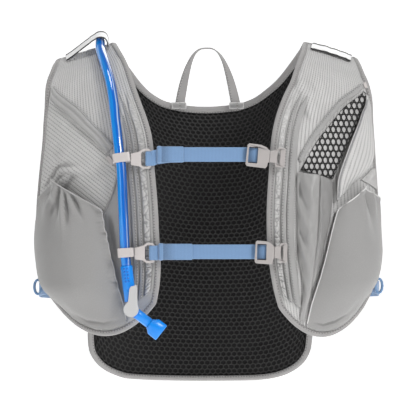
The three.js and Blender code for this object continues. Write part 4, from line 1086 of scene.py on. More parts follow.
def flask_lift(s, t):
    return TOP + 0.4 * MM + FLASK_BULGE * np.clip(np.sin(math.pi * s), 0, 1) ** 0.7 * smooth(t / 0.5)


def cover_lift(s, t):
    belly = np.clip(np.sin(math.pi * mix(0.16, 0.98, t)), 0, 1) ** 0.6
    return TOP + 0.4 * MM + COVER_LIFT * (1 - s) ** 0.8 * belly


def flat_lift(s, t):
    return TOP + 0 * s


def binding(name, form, run, low, high):
    """Folded tape beside a run of a form's edge points."""
    p = np.array([form.p[j, i] for j, i in run])
    n = np.array([form.n[j, i] for j, i in run])
    p, n = settle(p, 3), unit(settle(n, 3))
    mid = form.p[form.rows // 2, form.cols // 2]
    out = unit(np.cross(tangents(p), n))
    if ((p - mid) * out).sum() < 0:
        out = -out
    out = unit(settle(out, 6))
    c, h = (low + high) / 2, (high - low) / 2 + BIND_EXTRA
    shape = [(0.1 * MM, 0.9), (0.5 * MM, 1.08), (BIND_W * 0.35, 1.1), (BIND_W * 0.62, 1.02),
             (BIND_W * 0.86, 0.82), (BIND_W * 1.03, 0.42)]
    over = [(a, h * b) for a, b in shape]
    under = [(a, -b) for a, b in over]
    profile = [under[0], (0.05 * MM, 0), *over, (BIND_W * 1.09, 0), *under[:0:-1]]
    wobble = swell(np.arange(len(p)) * 1.0, 0 * p[:, 0], 5, 18) * 0.12 * MM
    return sweep(name, p + n * (c + wobble)[:, None] + out * (0.4 * MM), out, n, profile)


def piping(name, line, radius):
    """A thin round cord along a line of points."""
    path = settle(resample(line, 160), 2)
    t = tangents(path)
    w = unit(np.cross(t, [0, 1, 0]))
    return sweep(name, path, w, np.cross(t, w), circle(radius, 8))


def edge_run(form, side_cols=0, top=False):
    """Grid places along a form's top, or down one side, along the hem and up the other side."""
    r, c = form.rows, form.cols
    if top:
        return [(r, i) for i in range(side_cols, c - side_cols + 1)]
    down, up = [(j, 0) for j in range(r, 0, -1)], [(j, c) for j in range(r + 1)]
    return down + [(0, i) for i in range(c)] + up


# Operators
class VEST_OT_panels(bpy.types.Operator):
    """Build the two front panels with their edge tapes"""
    bl_idname = "vest.panels"
    bl_label = "Front panels"

    def execute(self, context):
        m, k = looks(context), context.scene.vest_sizes.crease
        for key, side, table in (("left", LEFT, LEFT_PANEL_FOLDS), ("right", RIGHT, RIGHT_PANEL_FOLDS)):
            form = side.fine
            p, n = form.p, form.n
            u, v = shares(form.cols, form.rows)
            edge = smooth(np.minimum(np.minimum(u, 1 - u) / 0.06, v / 0.03))
            up = (folds(p, table, side.sign) * k + 0.35 * MM * crumple(p, 3, 46)) * edge
            across, along = np.meshgrid(*spans(p))
            if key == "left":
                across, along = self.askew(p, across, along)
            outer, inner = p + n * (PANEL_T + up)[..., None], p + n * up[..., None]
            # The panel's fold hollows go into the extra tag as painted shade.
            ob = cloth_piece(f"{key}_panel_cloth", outer, inner, across, along, painted_fold_shade(up))
            finished(ob, [f"{key}_front_panel"], m["panel_cloth"], "ribbed_cloth")
            if key == "left":
                self.facing(ob, p, m)
            tape = binding(f"{key}_panel_edge", form, edge_run(form), 0, PANEL_T)
            finished(tape, [f"{key}_panel_binding"], m["edge_tape"], "trim_tape")
        return {"FINISHED"}

    def askew(self, p, across, along):
        """Below the slanting zip the left panel's rows lie askew."""
        zip_x, zip_z = ZIP_FLAP[0][0]
        x, z = p[..., 0] / MM, p[..., 2] / MM
        below = p[..., 2] / FRONT_DROP < zip_z + (-p[..., 0] / HALF_WIDTH - zip_x) * ZIP_SLOPE
        return (np.where(below, x * SLANT_A + z * SLANT_B, across),
                np.where(below, x * SLANT_B - z * SLANT_A, along))

    def facing(self, ob, p, m):
        """Smooth facing behind the left pouch's free edge, with its seam."""
        ob.data.materials.append(m["facing_cloth"])
        x, z = -p[..., 0] / HALF_WIDTH, p[..., 2] / FRONT_DROP
        line = np.array(FACING_EDGE)[::-1]
        plain = (x < np.interp(z, line[:, 1], line[:, 0])) & (z < FACING_EDGE[0][1])
        cells = plain[:-1, :-1].ravel()
        index = np.zeros(len(ob.data.polygons), int)
        index[:len(cells)] = cells
        ob.data.polygons.foreach_set("material_index", index)
        seam = [LEFT.fine.at(*LEFT.place(a, b), PANEL_T + 0.7 * MM) for a, b in FACING_EDGE]
        cord = piping("left_facing_seam", centripetal(seam, 80), MM)
        finished(cord, [], m["edge_tape"], "trim_tape")


class VEST_OT_strips(bpy.types.Operator):
    """Build the gathered bands and the sewn strips beside each inner edge"""
    bl_idname = "vest.strips"
    bl_label = "Inner strips"

    def execute(self, context):
        m = looks(context)
        for key, side in SIDES.items():
            for name, distance, width, thick in RIBS[key]:
                self.strip(key, side, name, distance, width, thick, m)
        return {"FINISHED"}

    def strip(self, key, side, name, distance, width, thick, m):
        """One strip along the inner edge; a gathered band is crumpled all over."""
        gathered = name == "gathered_band"
        rows, cols = (520, 12) if gathered else (200, 8)
        v, s = np.linspace(*RIB_ENDS, rows), np.linspace(0, 1, cols + 1)
        narrow = mix(0.12, 1, smooth((RIB_ENDS[1] - v) / 0.09))
        u = np.stack([side.share(distance + width * narrow * (a - 0.5), v) for a in s], 1)
        vv = np.broadcast_to(v[:, None], u.shape)
        bow = np.sqrt(np.clip(np.sin(math.pi * s), 0, 1))[None]
        lift = 0.5 * MM * bow
        # Painted shade along both sewn edges of the strip.
        dark = np.broadcast_to((1 - smooth(np.minimum(s, 1 - s) / 0.16))[None], u.shape) * 0.8
        if gathered:
            y = np.broadcast_to(np.arange(rows)[:, None] * 0.42, u.shape)
            x = np.broadcast_to(s[None] * width * HALF_WIDTH / MM, u.shape)
            seed = 11 if key == "left" else 12
            fold = swell(x * 0.7, y, seed, 9, 14) + 0.45 * swell(x * 0.5, y, 21, 4, 10)
            lift = lift + np.abs(fold) * 1.5 * MM * bow
            # Painted shade in the hollows between the gathered band's crinkles.
            dark = np.maximum(dark, 1 - smooth(np.abs(fold) / 0.5))
        fade = smooth(np.minimum(1 - vv, 1)) * smooth((RIB_ENDS[1] - vv) / 0.05)
        top = side.fine.at(u, vv, TOP + mix(0.2 * MM, thick + lift, fade))
        ob = cloth_piece(f"{key}_{name}_cloth", top, side.fine.at(u, vv, TOP), extra=dark * fade)
        look, slot_name = ("gathered_satin", "nylon") if gathered else ("rib_tape", "trim_tape")
        finished(ob, [f"{key}_{name}"], m[look], slot_name)


class VEST_OT_pouches(bpy.types.Operator):
    """Build the two stretch pouches"""
    bl_idname = "vest.pouches"
    bl_label = "Stretch pouches"

    def execute(self, context):
        m, k = looks(context), context.scene.vest_sizes.crease
        for key, side, rows, table, loose, cord in (
                ("left", LEFT, LEFT_POUCH, LEFT_POUCH_FOLDS, 2.0, "soft_edge"),
                ("right", RIGHT, RIGHT_POUCH, RIGHT_POUCH_FOLDS, 0.25, "piping_tape")):
            def crease(q, s, t):
                low_fold = groove(q, LOW_FOLDS[key], side.sign, 2.6, 2.2, tapered=True)
                return folds(q, table, side.sign) * k + low_fold + 0.5 * MM * crumple(q, 7, 40, 0.6)

            def rim_waves(q, s, t):
                hem = 0.5 * MM * smooth((t - 0.955) / 0.012)
                ripple = 1 + swell(0 * t, q[..., 2] / MM, 8, 14)
                wave = 1.3 * MM * loose * ripple * np.exp(-(s / 0.06) ** 2)
                return hem + wave * smooth((t - 0.1) / 0.2)

            shape = (side.fine, side.on(rows), *POUCH_GRID, pouch_lift, SKIN_T)
            ob = patch(f"{key}_pouch_cloth", *shape, crease, rim_waves)
            finished(ob, [f"{key}_stretch_pouch"], m["pouch_knit"], "stretch_cloth")
            base, rim = patch_faces(*shape)
            rim = rim + unit(rim - base) * (rim_waves(rim, *shares(*POUCH_GRID)) - 0.2 * MM)[..., None]
            for part, line in (("mouth", rim[-1]), ("side", rim[4:, 0])):
                pipe = piping(f"{key}_pouch_{part}_piping", line, 0.72 * MM)
                finished(pipe, [], m[cord], "trim_tape")
        return {"FINISHED"}


class VEST_OT_pockets(bpy.types.Operator):
    """Build the flask pocket, the net pocket with its cover, and the small flaps"""
    bl_idname = "vest.pockets"
    bl_label = "Pockets and flaps"

    def execute(self, context):
        m, sizes = looks(context), context.scene.vest_sizes

        def crease(q, s, t):
            sewn = groove(q, FLASK_SEAM, 1, 1.3, 2.4)
            return folds(q, FLASK_FOLDS, 1) * sizes.crease + sewn + 0.28 * MM * crumple(q, 9, 15, 0.5)

        # Painted shade: darker to the right of the flask pocket's side seam.
        def gusset_shade(q):
            seam = np.array(FLASK_SEAM)[::-1]
            edge = np.interp(q[..., 2] / FRONT_DROP, seam[:, 1], seam[:, 0])
            return 0.42 * smooth((q[..., 0] / HALF_WIDTH - edge) / 0.012)

        def soft(q, s, t):
            return 0.4 * MM * crumple(q, 4, 30)

        def crushed(q, s, t):
            return 0.6 * MM * crumple(q, 23, 9)

        def two_ridges(q, s, t):
            return 1.3 * MM * (np.sin(2 * math.pi * s) ** 2 - 0.5)

        flask = RIGHT.on(FLASK_POCKET)
        ob = patch("flask_pocket_cloth", RIGHT.fine, flask, 84, 180, flask_lift, SKIN_T, crease,
                   shade=gusset_shade)
        finished(ob, ["flask_pocket"], m["satin_nylon"], "nylon")
        cover = RIGHT.on(POCKET_COVER)
        ob = patch("pocket_cover_cloth", RIGHT.fine, cover, 40, 90, cover_lift, SKIN_T, soft)
        finished(ob, ["pocket_cover"], m["cover_cloth"], "ribbed_cloth")
        for name, side, rows, cols, steps, look, slot_name, relief in (
                ("flap_edge", RIGHT, FLAP_EDGE, 10, 90, "rib_tape", "trim_tape", crushed),
                ("corner_tab", RIGHT, CORNER_TAB, 24, 30, "gathered_satin", "nylon", crushed),
                ("zip_flap", LEFT, ZIP_FLAP, 40, 110, "facing_cloth", "ribbed_cloth", two_ridges)):
            ob = patch(f"{name}_cloth", side.fine, side.on(rows), cols, steps, flat_lift, SKIN_T, relief)
            finished(ob, [name], m[look], slot_name)
        self.net(m, sizes.net_hole)
        return {"FINISHED"}

    def net(self, m, pitch):
        """Net with open oval holes over a pale lining."""
        rows = RIGHT.on(NET_LINING)
        lining = patch("net_backing", RIGHT.fine, rows, 12, 40, lambda s, t: flat_lift(s, t) - 0.5 * MM,
                       0.3 * MM)
        finished(lining, [], m["pale_lining"], "ribbed_cloth")
        grid, over = patch_faces(RIGHT.fine, rows, *NET_GRID, lambda s, t: flat_lift(s, t) + 0.3 * MM, MM)
        places, normals = grid.reshape(-1, 3), unit(over - grid).reshape(-1, 3)
        flat = grid[..., [0, 2]]
        start = np.concatenate([flat[:, 0], flat[-1, :], flat[::-1, -1], flat[0, ::-1]])
        end = np.roll(start, -1, 0)

        def inside(p):
            spans_it = (start[:, 1] > p[1]) != (end[:, 1] > p[1])
            share = (p[1] - start[:, 1]) / (end[:, 1] - start[:, 1] + 1e-15)
            return (spans_it & (p[0] < (end[:, 0] - start[:, 0]) * share + start[:, 0])).sum() % 2 == 1

        def seat(p, up):
            i = int(np.argmin(((flat.reshape(-1, 2) - p) ** 2).sum(1)))
            g, n = places[i], normals[i]
            if inside(p):
                g = np.array([p[0], g[1] - ((p[0] - g[0]) * n[0] + (p[1] - g[2]) * n[2]) / n[1], p[1]])
            return g + n * up

        turns = np.linspace(0, 2 * math.pi, 12, endpoint=False)
        round_hole = np.stack([np.cos(turns), np.sin(turns)], -1) * 0.5
        hexagon = round_hole / np.cos((turns + math.pi / 6) % (math.pi / 3) - math.pi / 6)[:, None]
        outlines = ((hexagon, 1.0, 0.1), (round_hole, NET_HOLE * 2 * 0.97, 0.8),
                    (round_hole, NET_HOLE * 2 * 0.9, 0.0))
        verts, faces, tags = [], [], []
        (x0, z), (x1, z1) = flat.min((0, 1)), flat.max((0, 1))
        tall, row = pitch * NET_TALL, 0
        while z < z1:
            x = x0 + (pitch / 2 if row % 2 else 0)
            while x < x1:
                if any(inside((x + h[1] * pitch * 0.9, z + h[0] * tall * 0.9)) for h in hexagon[::2]):
                    faces += grid_faces(3, 12, len(verts), loop=True)
                    for outline, scale, up in outlines:
                        for h in outline:
                            q = np.array([x + h[1] * pitch * scale, z + h[0] * tall * scale * 1.02])
                            verts.append(seat(q, up * MM))
                            tags.append((x / MM, z / MM, 0.0))
                x += pitch
            z += tall * NET_STEP
            row += 1
        ob = new_object("pocket_net", verts, faces, tags)
        bm = bmesh.new()
        bm.from_mesh(ob.data)
        bmesh.ops.remove_doubles(bm, verts=bm.verts, dist=NET_WELD)
        bm.to_mesh(ob.data)
        bm.free()
        thick = ob.modifiers.new("thickness", "SOLIDIFY")
        thick.thickness, thick.offset = NET_THICK, 0
        finished(ob, ["net_lining"], m["pocket_net"], "net")


class VEST_OT_back(bpy.types.Operator):
    """Build the spacer mesh, the outer back, the reservoir sleeve and their edge tapes"""
    bl_idname = "vest.back"
    bl_label = "Back"

    def execute(self, context):
        m = looks(context)
        self.mesh_pad(m, context.scene.vest_sizes.cell)
        p, n = BACK.p, BACK.n
        ob = cloth_piece("back_cloth", p + n * SHELL_HIGH, p + n * SHELL_LOW)
        finished(ob, ["back_shell"], m["panel_cloth"], "ribbed_cloth")
        inner = round(BACK.cols * RIDGE_CUT)
        for name, run in (("back_neck", edge_run(BACK, inner, True)), ("back_hem", edge_run(BACK))):
            tape = binding(f"{name}_edge", BACK, run, -PAD_T, SHELL_HIGH)
            finished(tape, [f"{name}_binding"], m["edge_tape"], "trim_tape")

        def lift(s, t):
            belly = SLEEVE_DEPTH * np.clip(np.sin(math.pi * s), 0, 1) ** 0.6
            return SHELL_HIGH + 1.5 * LAYER_GAP + belly * smooth(t / 0.3) * mix(1, 0.85, t)

        def crease(q, s, t):
            return 0.8 * MM * crumple(q, 17, 60, 0.7)

        ob = patch("reservoir_sleeve_cloth", BACK, SLEEVE_ROWS, 90, 96, lift, SKIN_T, crease)
        finished(ob, ["reservoir_sleeve"], m["facing_cloth"], "ribbed_cloth")
        return {"FINISHED"}

    def mesh_pad(self, m, cell):
        """Pad whose inner face is a net of open cells."""
        p, n = BACK.p, BACK.n
        # The whole pad behind the cells is marked for painted shade and so takes the near-black cell colour.
        pad = cloth_piece("back_pad", p, p - n * (PAD_T - 2.2 * MM), extra=np.ones(p.shape[:2]))
        finished(pad, ["back_mesh"], m["spacer_mesh"], "spacer_mesh")
        rows, cols = p.shape[:2]
        steps = np.linalg.norm(np.diff(p, axis=1), axis=-1)
        across = np.concatenate([np.zeros((rows, 1)), np.cumsum(steps, 1)], 1)
        across = across - across[:, [cols // 2]]
        along = travelled(p[:, cols // 2])
        us, vs = np.linspace(0, 1, cols), np.linspace(0, 1, rows)

        def where(x, y):
            v = float(np.interp(y, along, vs))
            return float(np.interp(x, across[int(round(v * (rows - 1)))], us)), v

        def inside(x, y):
            line = across[int(round(where(x, y)[1] * (rows - 1)))]
            return line[0] + CELL_MARGIN <= x <= line[-1] - CELL_MARGIN

        turns = np.linspace(0, 2 * math.pi, 6, endpoint=False) + math.pi / 6
        reach = int(steps.sum(1).max() / cell / 2) + 2
        uv, heights, painted_shade, faces = [], [], [], []
        for j, y in enumerate(np.arange(int(along[-1] / cell / CELL_TALL) + 2) * (cell * CELL_TALL)):
            if y > along[-1] - CELL_MARGIN:
                break
            for x in np.arange(-reach, reach + 1) * cell + (cell / 2 if j % 2 else 0):
                if not inside(x, y):
                    continue
                first = len(uv)
                for scale, height, dark in CELL_RINGS:
                    for g in turns:
                        size = cell * scale
                        uv.append(where(x + math.cos(g) * size, y + math.sin(g) * size * CELL_SQUASH))
                        heights.append(height)
                        painted_shade.append(dark)
                faces += grid_faces(3, 6, first, loop=True)
                faces.append(tuple(first + 12 + t for t in range(6)))
        uv = np.array(uv)
        verts = BACK.at(uv[:, 0], uv[:, 1], -np.array(heights) * MM)
        # The tags' third value is each ring's painted shade.
        tags = np.column_stack([uv * PAD_SPAN, painted_shade])
        finished(new_object("back_cells", verts, faces, tags), [], m["spacer_mesh"], "spacer_mesh")


class VEST_OT_loop(bpy.types.Operator):
    """Build the haul loop and its bar tacks"""
    bl_idname = "vest.loop"
    bl_label = "Haul loop"

    def execute(self, context):
        m = looks(context)
        tack_z = -0.150 * BACK_DROP
        y = float(back_y(0.17 * HALF_WIDTH, tack_z)) - PAD_T - 3.4 * MM
        foot, top = -0.158 * BACK_DROP, 0.033 * BACK_DROP
        c = 2 * np.linspace(0, 1, 90) - 1
        lift = 1 - np.abs(c) ** 2.3
        share = 0.5 + 0.5 * np.sign(c) * np.abs(c) ** 0.82
        x = mix(-0.178 * HALF_WIDTH, 0.164 * HALF_WIDTH, share) - 0.006 * HALF_WIDTH * (1 - c * c)
        points = np.stack([x, y + 10 * MM * lift, mix(foot, top, lift)], -1)

        def turn(k):
            g = math.pi * math.sin(math.pi * k) / 2
            return math.cos(g), math.sin(g), 0

        ob = ribbon("haul_loop_tape", points, turn, TAPE_W, TAPE_T, steps=13)
        finished(ob, ["haul_loop"], m["loop_tape"], "trim_tape")
        for node in ("left_loop_tack", "right_loop_tack"):
            lo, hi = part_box(node)
            self.tack(node, lo, hi, m["piping_tape"])
        return {"FINISHED"}

    def tack(self, node, lo, hi, look):
        """A small pad and a close zigzag of thread over the loop's end."""
        xs, zs = np.linspace(lo[0], hi[0], 12), np.linspace(lo[2], hi[2], 8)
        faces = [np.array([[[x, y, z] for x in xs] for z in zs]) for y in (lo[1] + 0.3 * MM, hi[1])]
        finished(cloth_piece(f"{node}_pad", *faces), [node], look, "trim_tape")
        count = 60
        zig_x = mix(lo[0] + 0.6 * MM, hi[0] - 0.6 * MM, np.linspace(0, 1, count))
        zig_z = (lo[2] + hi[2]) / 2 + (hi[2] - lo[2]) * 0.42 * np.where(np.arange(count) % 2, 1, -1)
        curve = bpy.data.curves.new(f"{node}_thread", "CURVE")
        curve.dimensions, curve.bevel_depth, curve.bevel_resolution = "3D", 0.32 * MM, 1
        line = curve.splines.new("POLY")
        line.points.add(count - 1)
        for point, x, z in zip(line.points, zig_x, zig_z):
            point.co = (x, lo[1] + 0.2 * MM, z, 1)
        ob = bpy.data.objects.new(f"{node}_thread", curve)
        bpy.context.scene.collection.objects.link(ob)
        finished(ob, [], look, "trim_tape")


def hose_points():
    """The tube's middle line, up the left panel, over the shoulder and down into the sleeve."""
    points = [LEFT.coarse.at(*LEFT.place(x, z), h * MM) for x, z, h in HOSE_FRONT]
    top_x = 0.634 * HALF_WIDTH
    top_z = ridge(top_x) + PANEL_T + LAYER_GAP + HOSE_D / 2 + 1.6 * MM
    points.append(np.array([-top_x, RIDGE_Y - 4 * MM, top_z]))
    step = 2 * MM
    for across, down, height in HOSE_BACK:
        x, z = across * HALF_WIDTH, down * BACK_DROP
        y = float(back_y(x, z))
        n = unit(np.cross([step, float(back_y(x + step, z)) - y, 0],
                          [0, float(back_y(x, z + step)) - y, step]))
        points.append(np.array([x, y, z]) + (-n if n[1] < 0 else n) * height * MM)
    return centripetal(points, 260)


class VEST_OT_tube(bpy.types.Operator):
    """Build the drinking tube, its bite valve and the valve's sleeve"""
    bl_idname = "vest.tube"
    bl_label = "Drinking tube"

    def execute(self, context):
        m = looks(context)
        path = hose_points()
        t = tangents(path)
        side = np.array([1, 0.2, 0])
        w = unit(side - (t @ side)[:, None] * t)
        h = np.cross(t, w)
        ob = sweep("drinking_tube", path, w, h, circle(HOSE_D / 2, 28))
        finished(ob, ["drinking_hose"], m["tinted_tube"], "hose_plastic")
        end = path[0]
        valve = np.array([-0.438 * HALF_WIDTH, end[1] - 0.4 * MM, -0.899 * FRONT_DROP])
        down = unit(valve - end)
        house, half = VALVE_D / 2 - 0.2 * MM, 6.9 * MM
        length, sr = np.linalg.norm(valve - end) - house - FIT, SLEEVE_D / 2
        rows = [(0.0, sr * 0.90), (0.5 * MM, sr * 0.97), (1.5 * MM, sr), (length * 0.60, sr),
                (length * 0.64, sr * 0.985), (length * 0.68, sr * 0.95), (length, sr * 0.95)]
        finished(turned("valve_sleeve_rubber", end, down, (1, 0, 0), rows, 40), ["valve_sleeve"],
                 m["valve_rubber"], "valve_rubber")
        self.grip(end, down, sr, m)
        rows = [(0, house - 1.6 * MM), (0.3 * MM, house - 0.7 * MM), (1.0 * MM, house),
                (2 * half - 1.2 * MM, house), (2 * half - 0.4 * MM, house - 0.5 * MM),
                (2 * half, house - 1.3 * MM)]
        finished(turned("valve_housing", valve + [0, -half, 0], (0, 1, 0), (1, 0, 0), rows, 44),
                 ["valve_body"], m["valve_rubber"], "valve_rubber")
        along = (0.788, 0, -0.616)
        start, end_at, q = house - 1.0 * MM, 25 * MM, SPOUT_D / 2
        finished(turned("valve_spout_rubber", valve, along, (0, 1, 0),
                        [(start, q * 1.04), (start + 3 * MM, q), (end_at, q)], 36), ["valve_spout"],
                 m["valve_rubber"], "valve_rubber")
        b = BITE_T / 2
        rows = [(25.2, b - 0.3 * MM, q + 0.3 * MM), (25.6, b, q + 0.8 * MM), (27.0, b, q + 1.5 * MM),
                (28.3, b, q + 2.8 * MM), (29.4, b, BITE_W / 2 - 0.8 * MM),
                (30.6, b, BITE_W / 2 - 0.1 * MM),
                (34.0, b, BITE_W / 2), (37.5, b - 0.4 * MM, BITE_W / 2), (40.3, b - 0.9 * MM, BITE_W / 2),
                (41.1, b - 1.3 * MM, BITE_W / 2 - 0.4 * MM), (41.4, b - 2.2 * MM, BITE_W / 2 - 1.2 * MM)]
        ob = turned("bite_mouthpiece", valve, along, (0, 1, 0), [(d * MM, x, y) for d, x, y in rows], 40)
        finished(ob, ["mouthpiece"], m["valve_rubber"], "valve_rubber")
        dress(NODES["valve_lever"], m["lever_plastic"], 0.7 * MM)
        return {"FINISHED"}

    def grip(self, end, down, radius, m):
        """Two columns of small raised dots on the sleeve."""
        places = []
        for column in (-0.42, 0.10):
            for k in range(5):
                front = np.array([column, -1.0, 0])
                side = unit(front - np.dot(front, down) * down)
                at = end + down * ((3.2 + 3.4 * k) * MM) + side * (radius - 0.3 * MM)
                places.append((at, side, down))
        dome = [(0, 1.15 * MM), (0.45 * MM, 1.1 * MM), (0.68 * MM, 0.85 * MM), (0.82 * MM, 0.5 * MM),
                (0.87 * MM, 0.15 * MM)]
        finished(scattered("sleeve_dots", places, dome, 12), [], m["tinted_tube"], "valve_rubber")


def rounded(ob, width, segments, degrees):
    """Rounds the edges that turn by more than some degrees."""
    bevel = ob.modifiers.new("bevel", "BEVEL")
    bevel.width, bevel.segments = width, segments
    bevel.limit_method, bevel.angle_limit = "ANGLE", math.radians(degrees)


def dress(node, look, width):
    """Keeps a solid as it is, rounds its edges and gives it a material."""
    node.data.materials.clear()
    node.data.materials.append(look)
    weld = node.modifiers.new("weld", "WELD")
    weld.merge_threshold = 1e-5
    rounded(node, width, 3, 28)


class VEST_OT_straps(bpy.types.Operator):
    """Build the chest straps with their buckles and clips"""
    bl_idname = "vest.straps"
    bl_label = "Chest straps"

    def execute(self, context):
        m = looks(context)
        for key, at in STRAPS.items():
            self.strap(key, at, m["blue_webbing"])
            self.fold(key, at, m["blue_webbing"])
            for part, look, width in (
                    ("clip_ring", "moulded_plastic", 0.6), ("hose_clip", "moulded_plastic", 0.8),
                    ("buckle_socket", "buckle_plastic", 0.8), ("buckle_plug", "buckle_plastic", 0.8)):
                dress(NODES[f"{key}_{part}"], m[look], width * MM)
        return {"FINISHED"}

    def middle(self, at):
        """The strap's middle depth, and how far its two layers lie from it."""
        y = float(front_y(0.33 * HALF_WIDTH, at["z"] * FRONT_DROP)) - STRAP_OFF - 2.5 * MM
        return y, WEB_T / 2 + 0.25 * MM

    def strap(self, key, at, look):
        """The webbing, from its fold round the clip's ring and back through the buckle."""
        y, layer = self.middle(at)
        z, ring_z = at["z"] * FRONT_DROP, at["ring_z"] * FRONT_DROP
        ring, buckle, fold = (at[name] * HALF_WIDTH for name in ("ring_out", "buckle_x", "fold_b"))
        wrap = RING_T / 2 + FIT + WEB_T / 2
        turn_x = ring - RING_BAR - wrap * 0.55 - 0.4 * MM
        turn = [(turn_x - wrap * 0.25 * math.cos(g), wrap * math.sin(g))
                for g in np.linspace(0.5, -0.5, 13) * math.pi]
        near = [(ring + 5 * MM, layer), (ring + 1.5 * MM, wrap)]
        plan = [(fold, layer), (fold - 8 * MM, layer), *near, *turn, *[(x, -d) for x, d in near[::-1]],
                (fold - 8 * MM, -layer), (fold + 6 * MM, -layer)]
        plan += [(buckle + x * MM, d * MM) for x, d in BUCKLE_RUN]
        points = []
        for x, d in plan:
            level = mix(ring_z, z, float(smooth((x - ring) / (12 * MM))))
            points.append((x, y + d, level + max(0, x - buckle) * math.tan(at["tilt"])))
        ob = ribbon(f"{key}_strap", points, lambda k: (0, 0, 1), WEB_W, WEB_T, n=260, edge=0.12, steps=11)
        finished(ob, [f"{key}_webbing"], look, "blue_webbing")

    def fold(self, key, at, look):
        """The sewn fold of the strap's end, with painted shade lines just past its raised end and along two
        stitch lines.
        """
        y, layer = self.middle(at)
        start, end, z = at["fold_a"] * HALF_WIDTH, at["fold_b"] * HALF_WIDTH, at["z"] * FRONT_DROP
        back = y - layer - WEB_T / 2 - 2 * FIT
        outline = [(start + x * MM, d) for x, d in FOLD_SHAPE] + [(end - MM, 1.6), (end, 1.2)]
        line = resample(outline, 80)
        s = np.linspace(-1, 1, 11)
        across = [(a, z + a * (WEB_W / 2 + 0.4 * MM)) for a in s]
        top = np.array([[[x, back - d * MM * (1 - 0.12 * a ** 8), level] for a, level in across]
                        for x, d in line])
        low = np.array([[[x, back, level] for _, level in across] for x, _ in line])
        shade_lines = [start + 5.4 * MM, end - 1.6 * MM, end - 9.5 * MM]
        # Painted shade: dark lines just past the fold's raised end and along two stitch lines.
        dark = np.max([np.exp(-((line[:, 0] - x) / (0.5 * MM)) ** 2) for x in shade_lines], axis=0)
        ob = cloth_piece(f"{key}_strap_fold", top, low,
                         extra=np.broadcast_to(dark[:, None], top.shape[:2]))
        finished(ob, [f"{key}_webbing_fold"], look, "blue_webbing")


class VEST_OT_trims(bpy.types.Operator):
    """Build the shoulder bands, the side straps, the zip pulls and the zip's teeth"""
    bl_idname = "vest.trims"
    bl_label = "Small trims"

    def execute(self, context):
        m = looks(context)
        self.band("left_shoulder_band", LEFT_BAND, LEFT, m["white_band"])
        self.band("right_shoulder_band", RIGHT_BAND, RIGHT, m["white_band"])
        for key in SIDES:
            for part, thicken in (("side_strap", 0.0), ("side_loop", 0.5 * MM)):
                node = NODES[f"{key}_{part}"]
                soften(f"{key}_{part}_web", node, m["blue_webbing"], "blue_webbing", thicken)
        for name, look in (("left_zip_pull", "moulded_plastic"), ("right_zip_pull", "moulded_plastic"),
                           ("left_zip_cord", "lever_plastic")):
            dress(NODES[name], m[look], 0.5 * MM)
        self.teeth(m["zip_metal"])
        return {"FINISHED"}

    def band(self, name, table, side, look):
        """A keeper band across one shoulder; rows of its table give place and height."""
        u, v = np.meshgrid(np.linspace(0, 1, 61), np.linspace(0.45, 1, 121))
        q = side.coarse.at(u, v)
        points = []
        for share, h in row_at(table, np.linspace(0, 1, 60)):
            x = side.sign * share * HALF_WIDTH
            far = np.hypot(q[..., 0] - x, q[..., 1] + 7 * MM)
            near = q[np.unravel_index(np.argmin(far), far.shape)]
            points.append((x, -7 * MM - h * MM * 0.25, near[2] + PANEL_T + LAYER_GAP + h * MM + 0.6 * MM))
        ob = ribbon(f"{name}_tape", settle(points, 4), lambda k: (0, 1, 0.45), BAND_W, BAND_T, steps=15,
                    edge=0.08)
        finished(ob, [name], look, "white_band")

    def teeth(self, look):
        """Row of zip teeth along the net pocket's cover."""
        count = 110
        low, high = patch_faces(RIGHT.fine, RIGHT.on(POCKET_COVER), *COVER_GRID, cover_lift, SKIN_T)
        line = resample(high[4:140, 1], count)
        n = unit(resample(high[4:140, 1] - low[4:140, 1], count))
        t = tangents(line)
        places = list(zip(line + n * 0.5 * MM, np.cross(n, t), t))
        tooth = [(d * MM, across * MM, through * MM) for d, across, through in TOOTH]
        finished(scattered("zip_teeth", places, tooth, 8), [], look, "buckle_plastic")


def soften(name, node, mat, slot_name, thicken=0.0):
    """A smoothed copy of a strap's solid that stands for it."""
    me = node.data.copy()
    bm = bmesh.new()
    bm.from_mesh(me)
    bmesh.ops.remove_doubles(bm, verts=bm.verts, dist=1e-5)
    bmesh.ops.join_triangles(bm, faces=bm.faces, angle_face_threshold=0.9, angle_shape_threshold=3.1)
    bm.to_mesh(me)
    bm.free()
    ob = bpy.data.objects.new(name, me)
    bpy.context.scene.collection.objects.link(ob)
    co = np.zeros(len(me.vertices) * 3)
    me.vertices.foreach_get("co", co)
    co = co.reshape(-1, 3)
    a = me.attributes.new("cloth", "FLOAT_VECTOR", "POINT")
    tags = np.stack([co[:, 2] / MM, (co[:, 0] + co[:, 1] * 1.3) / MM, 0 * co[:, 0]], -1)
    a.data.foreach_set("vector", tags.astype(np.float32).ravel())
    rounded(ob, 0.4 * MM, 2, 50)
    if thicken:
        fuller = ob.modifiers.new("fuller", "DISPLACE")
        fuller.strength, fuller.mid_level = thicken, 0.0
    me.polygons.foreach_set("use_smooth", [True] * len(me.polygons))
    finished(ob, [node.name], mat, slot_name)


LIGHTS = [  # name, place in metres, size in metres, watts
    ("key_light", (1.25, -1.75, 1.1), 0.7, 30), ("fill_light", (-2.0, -2.4, 0.3), 1.6, 9),
    ("top_light", (-0.3, -0.3, 2.0), 0.9, 16), ("rear_light", (0.4, 2.2, 1.2), 2.0, 22),
]


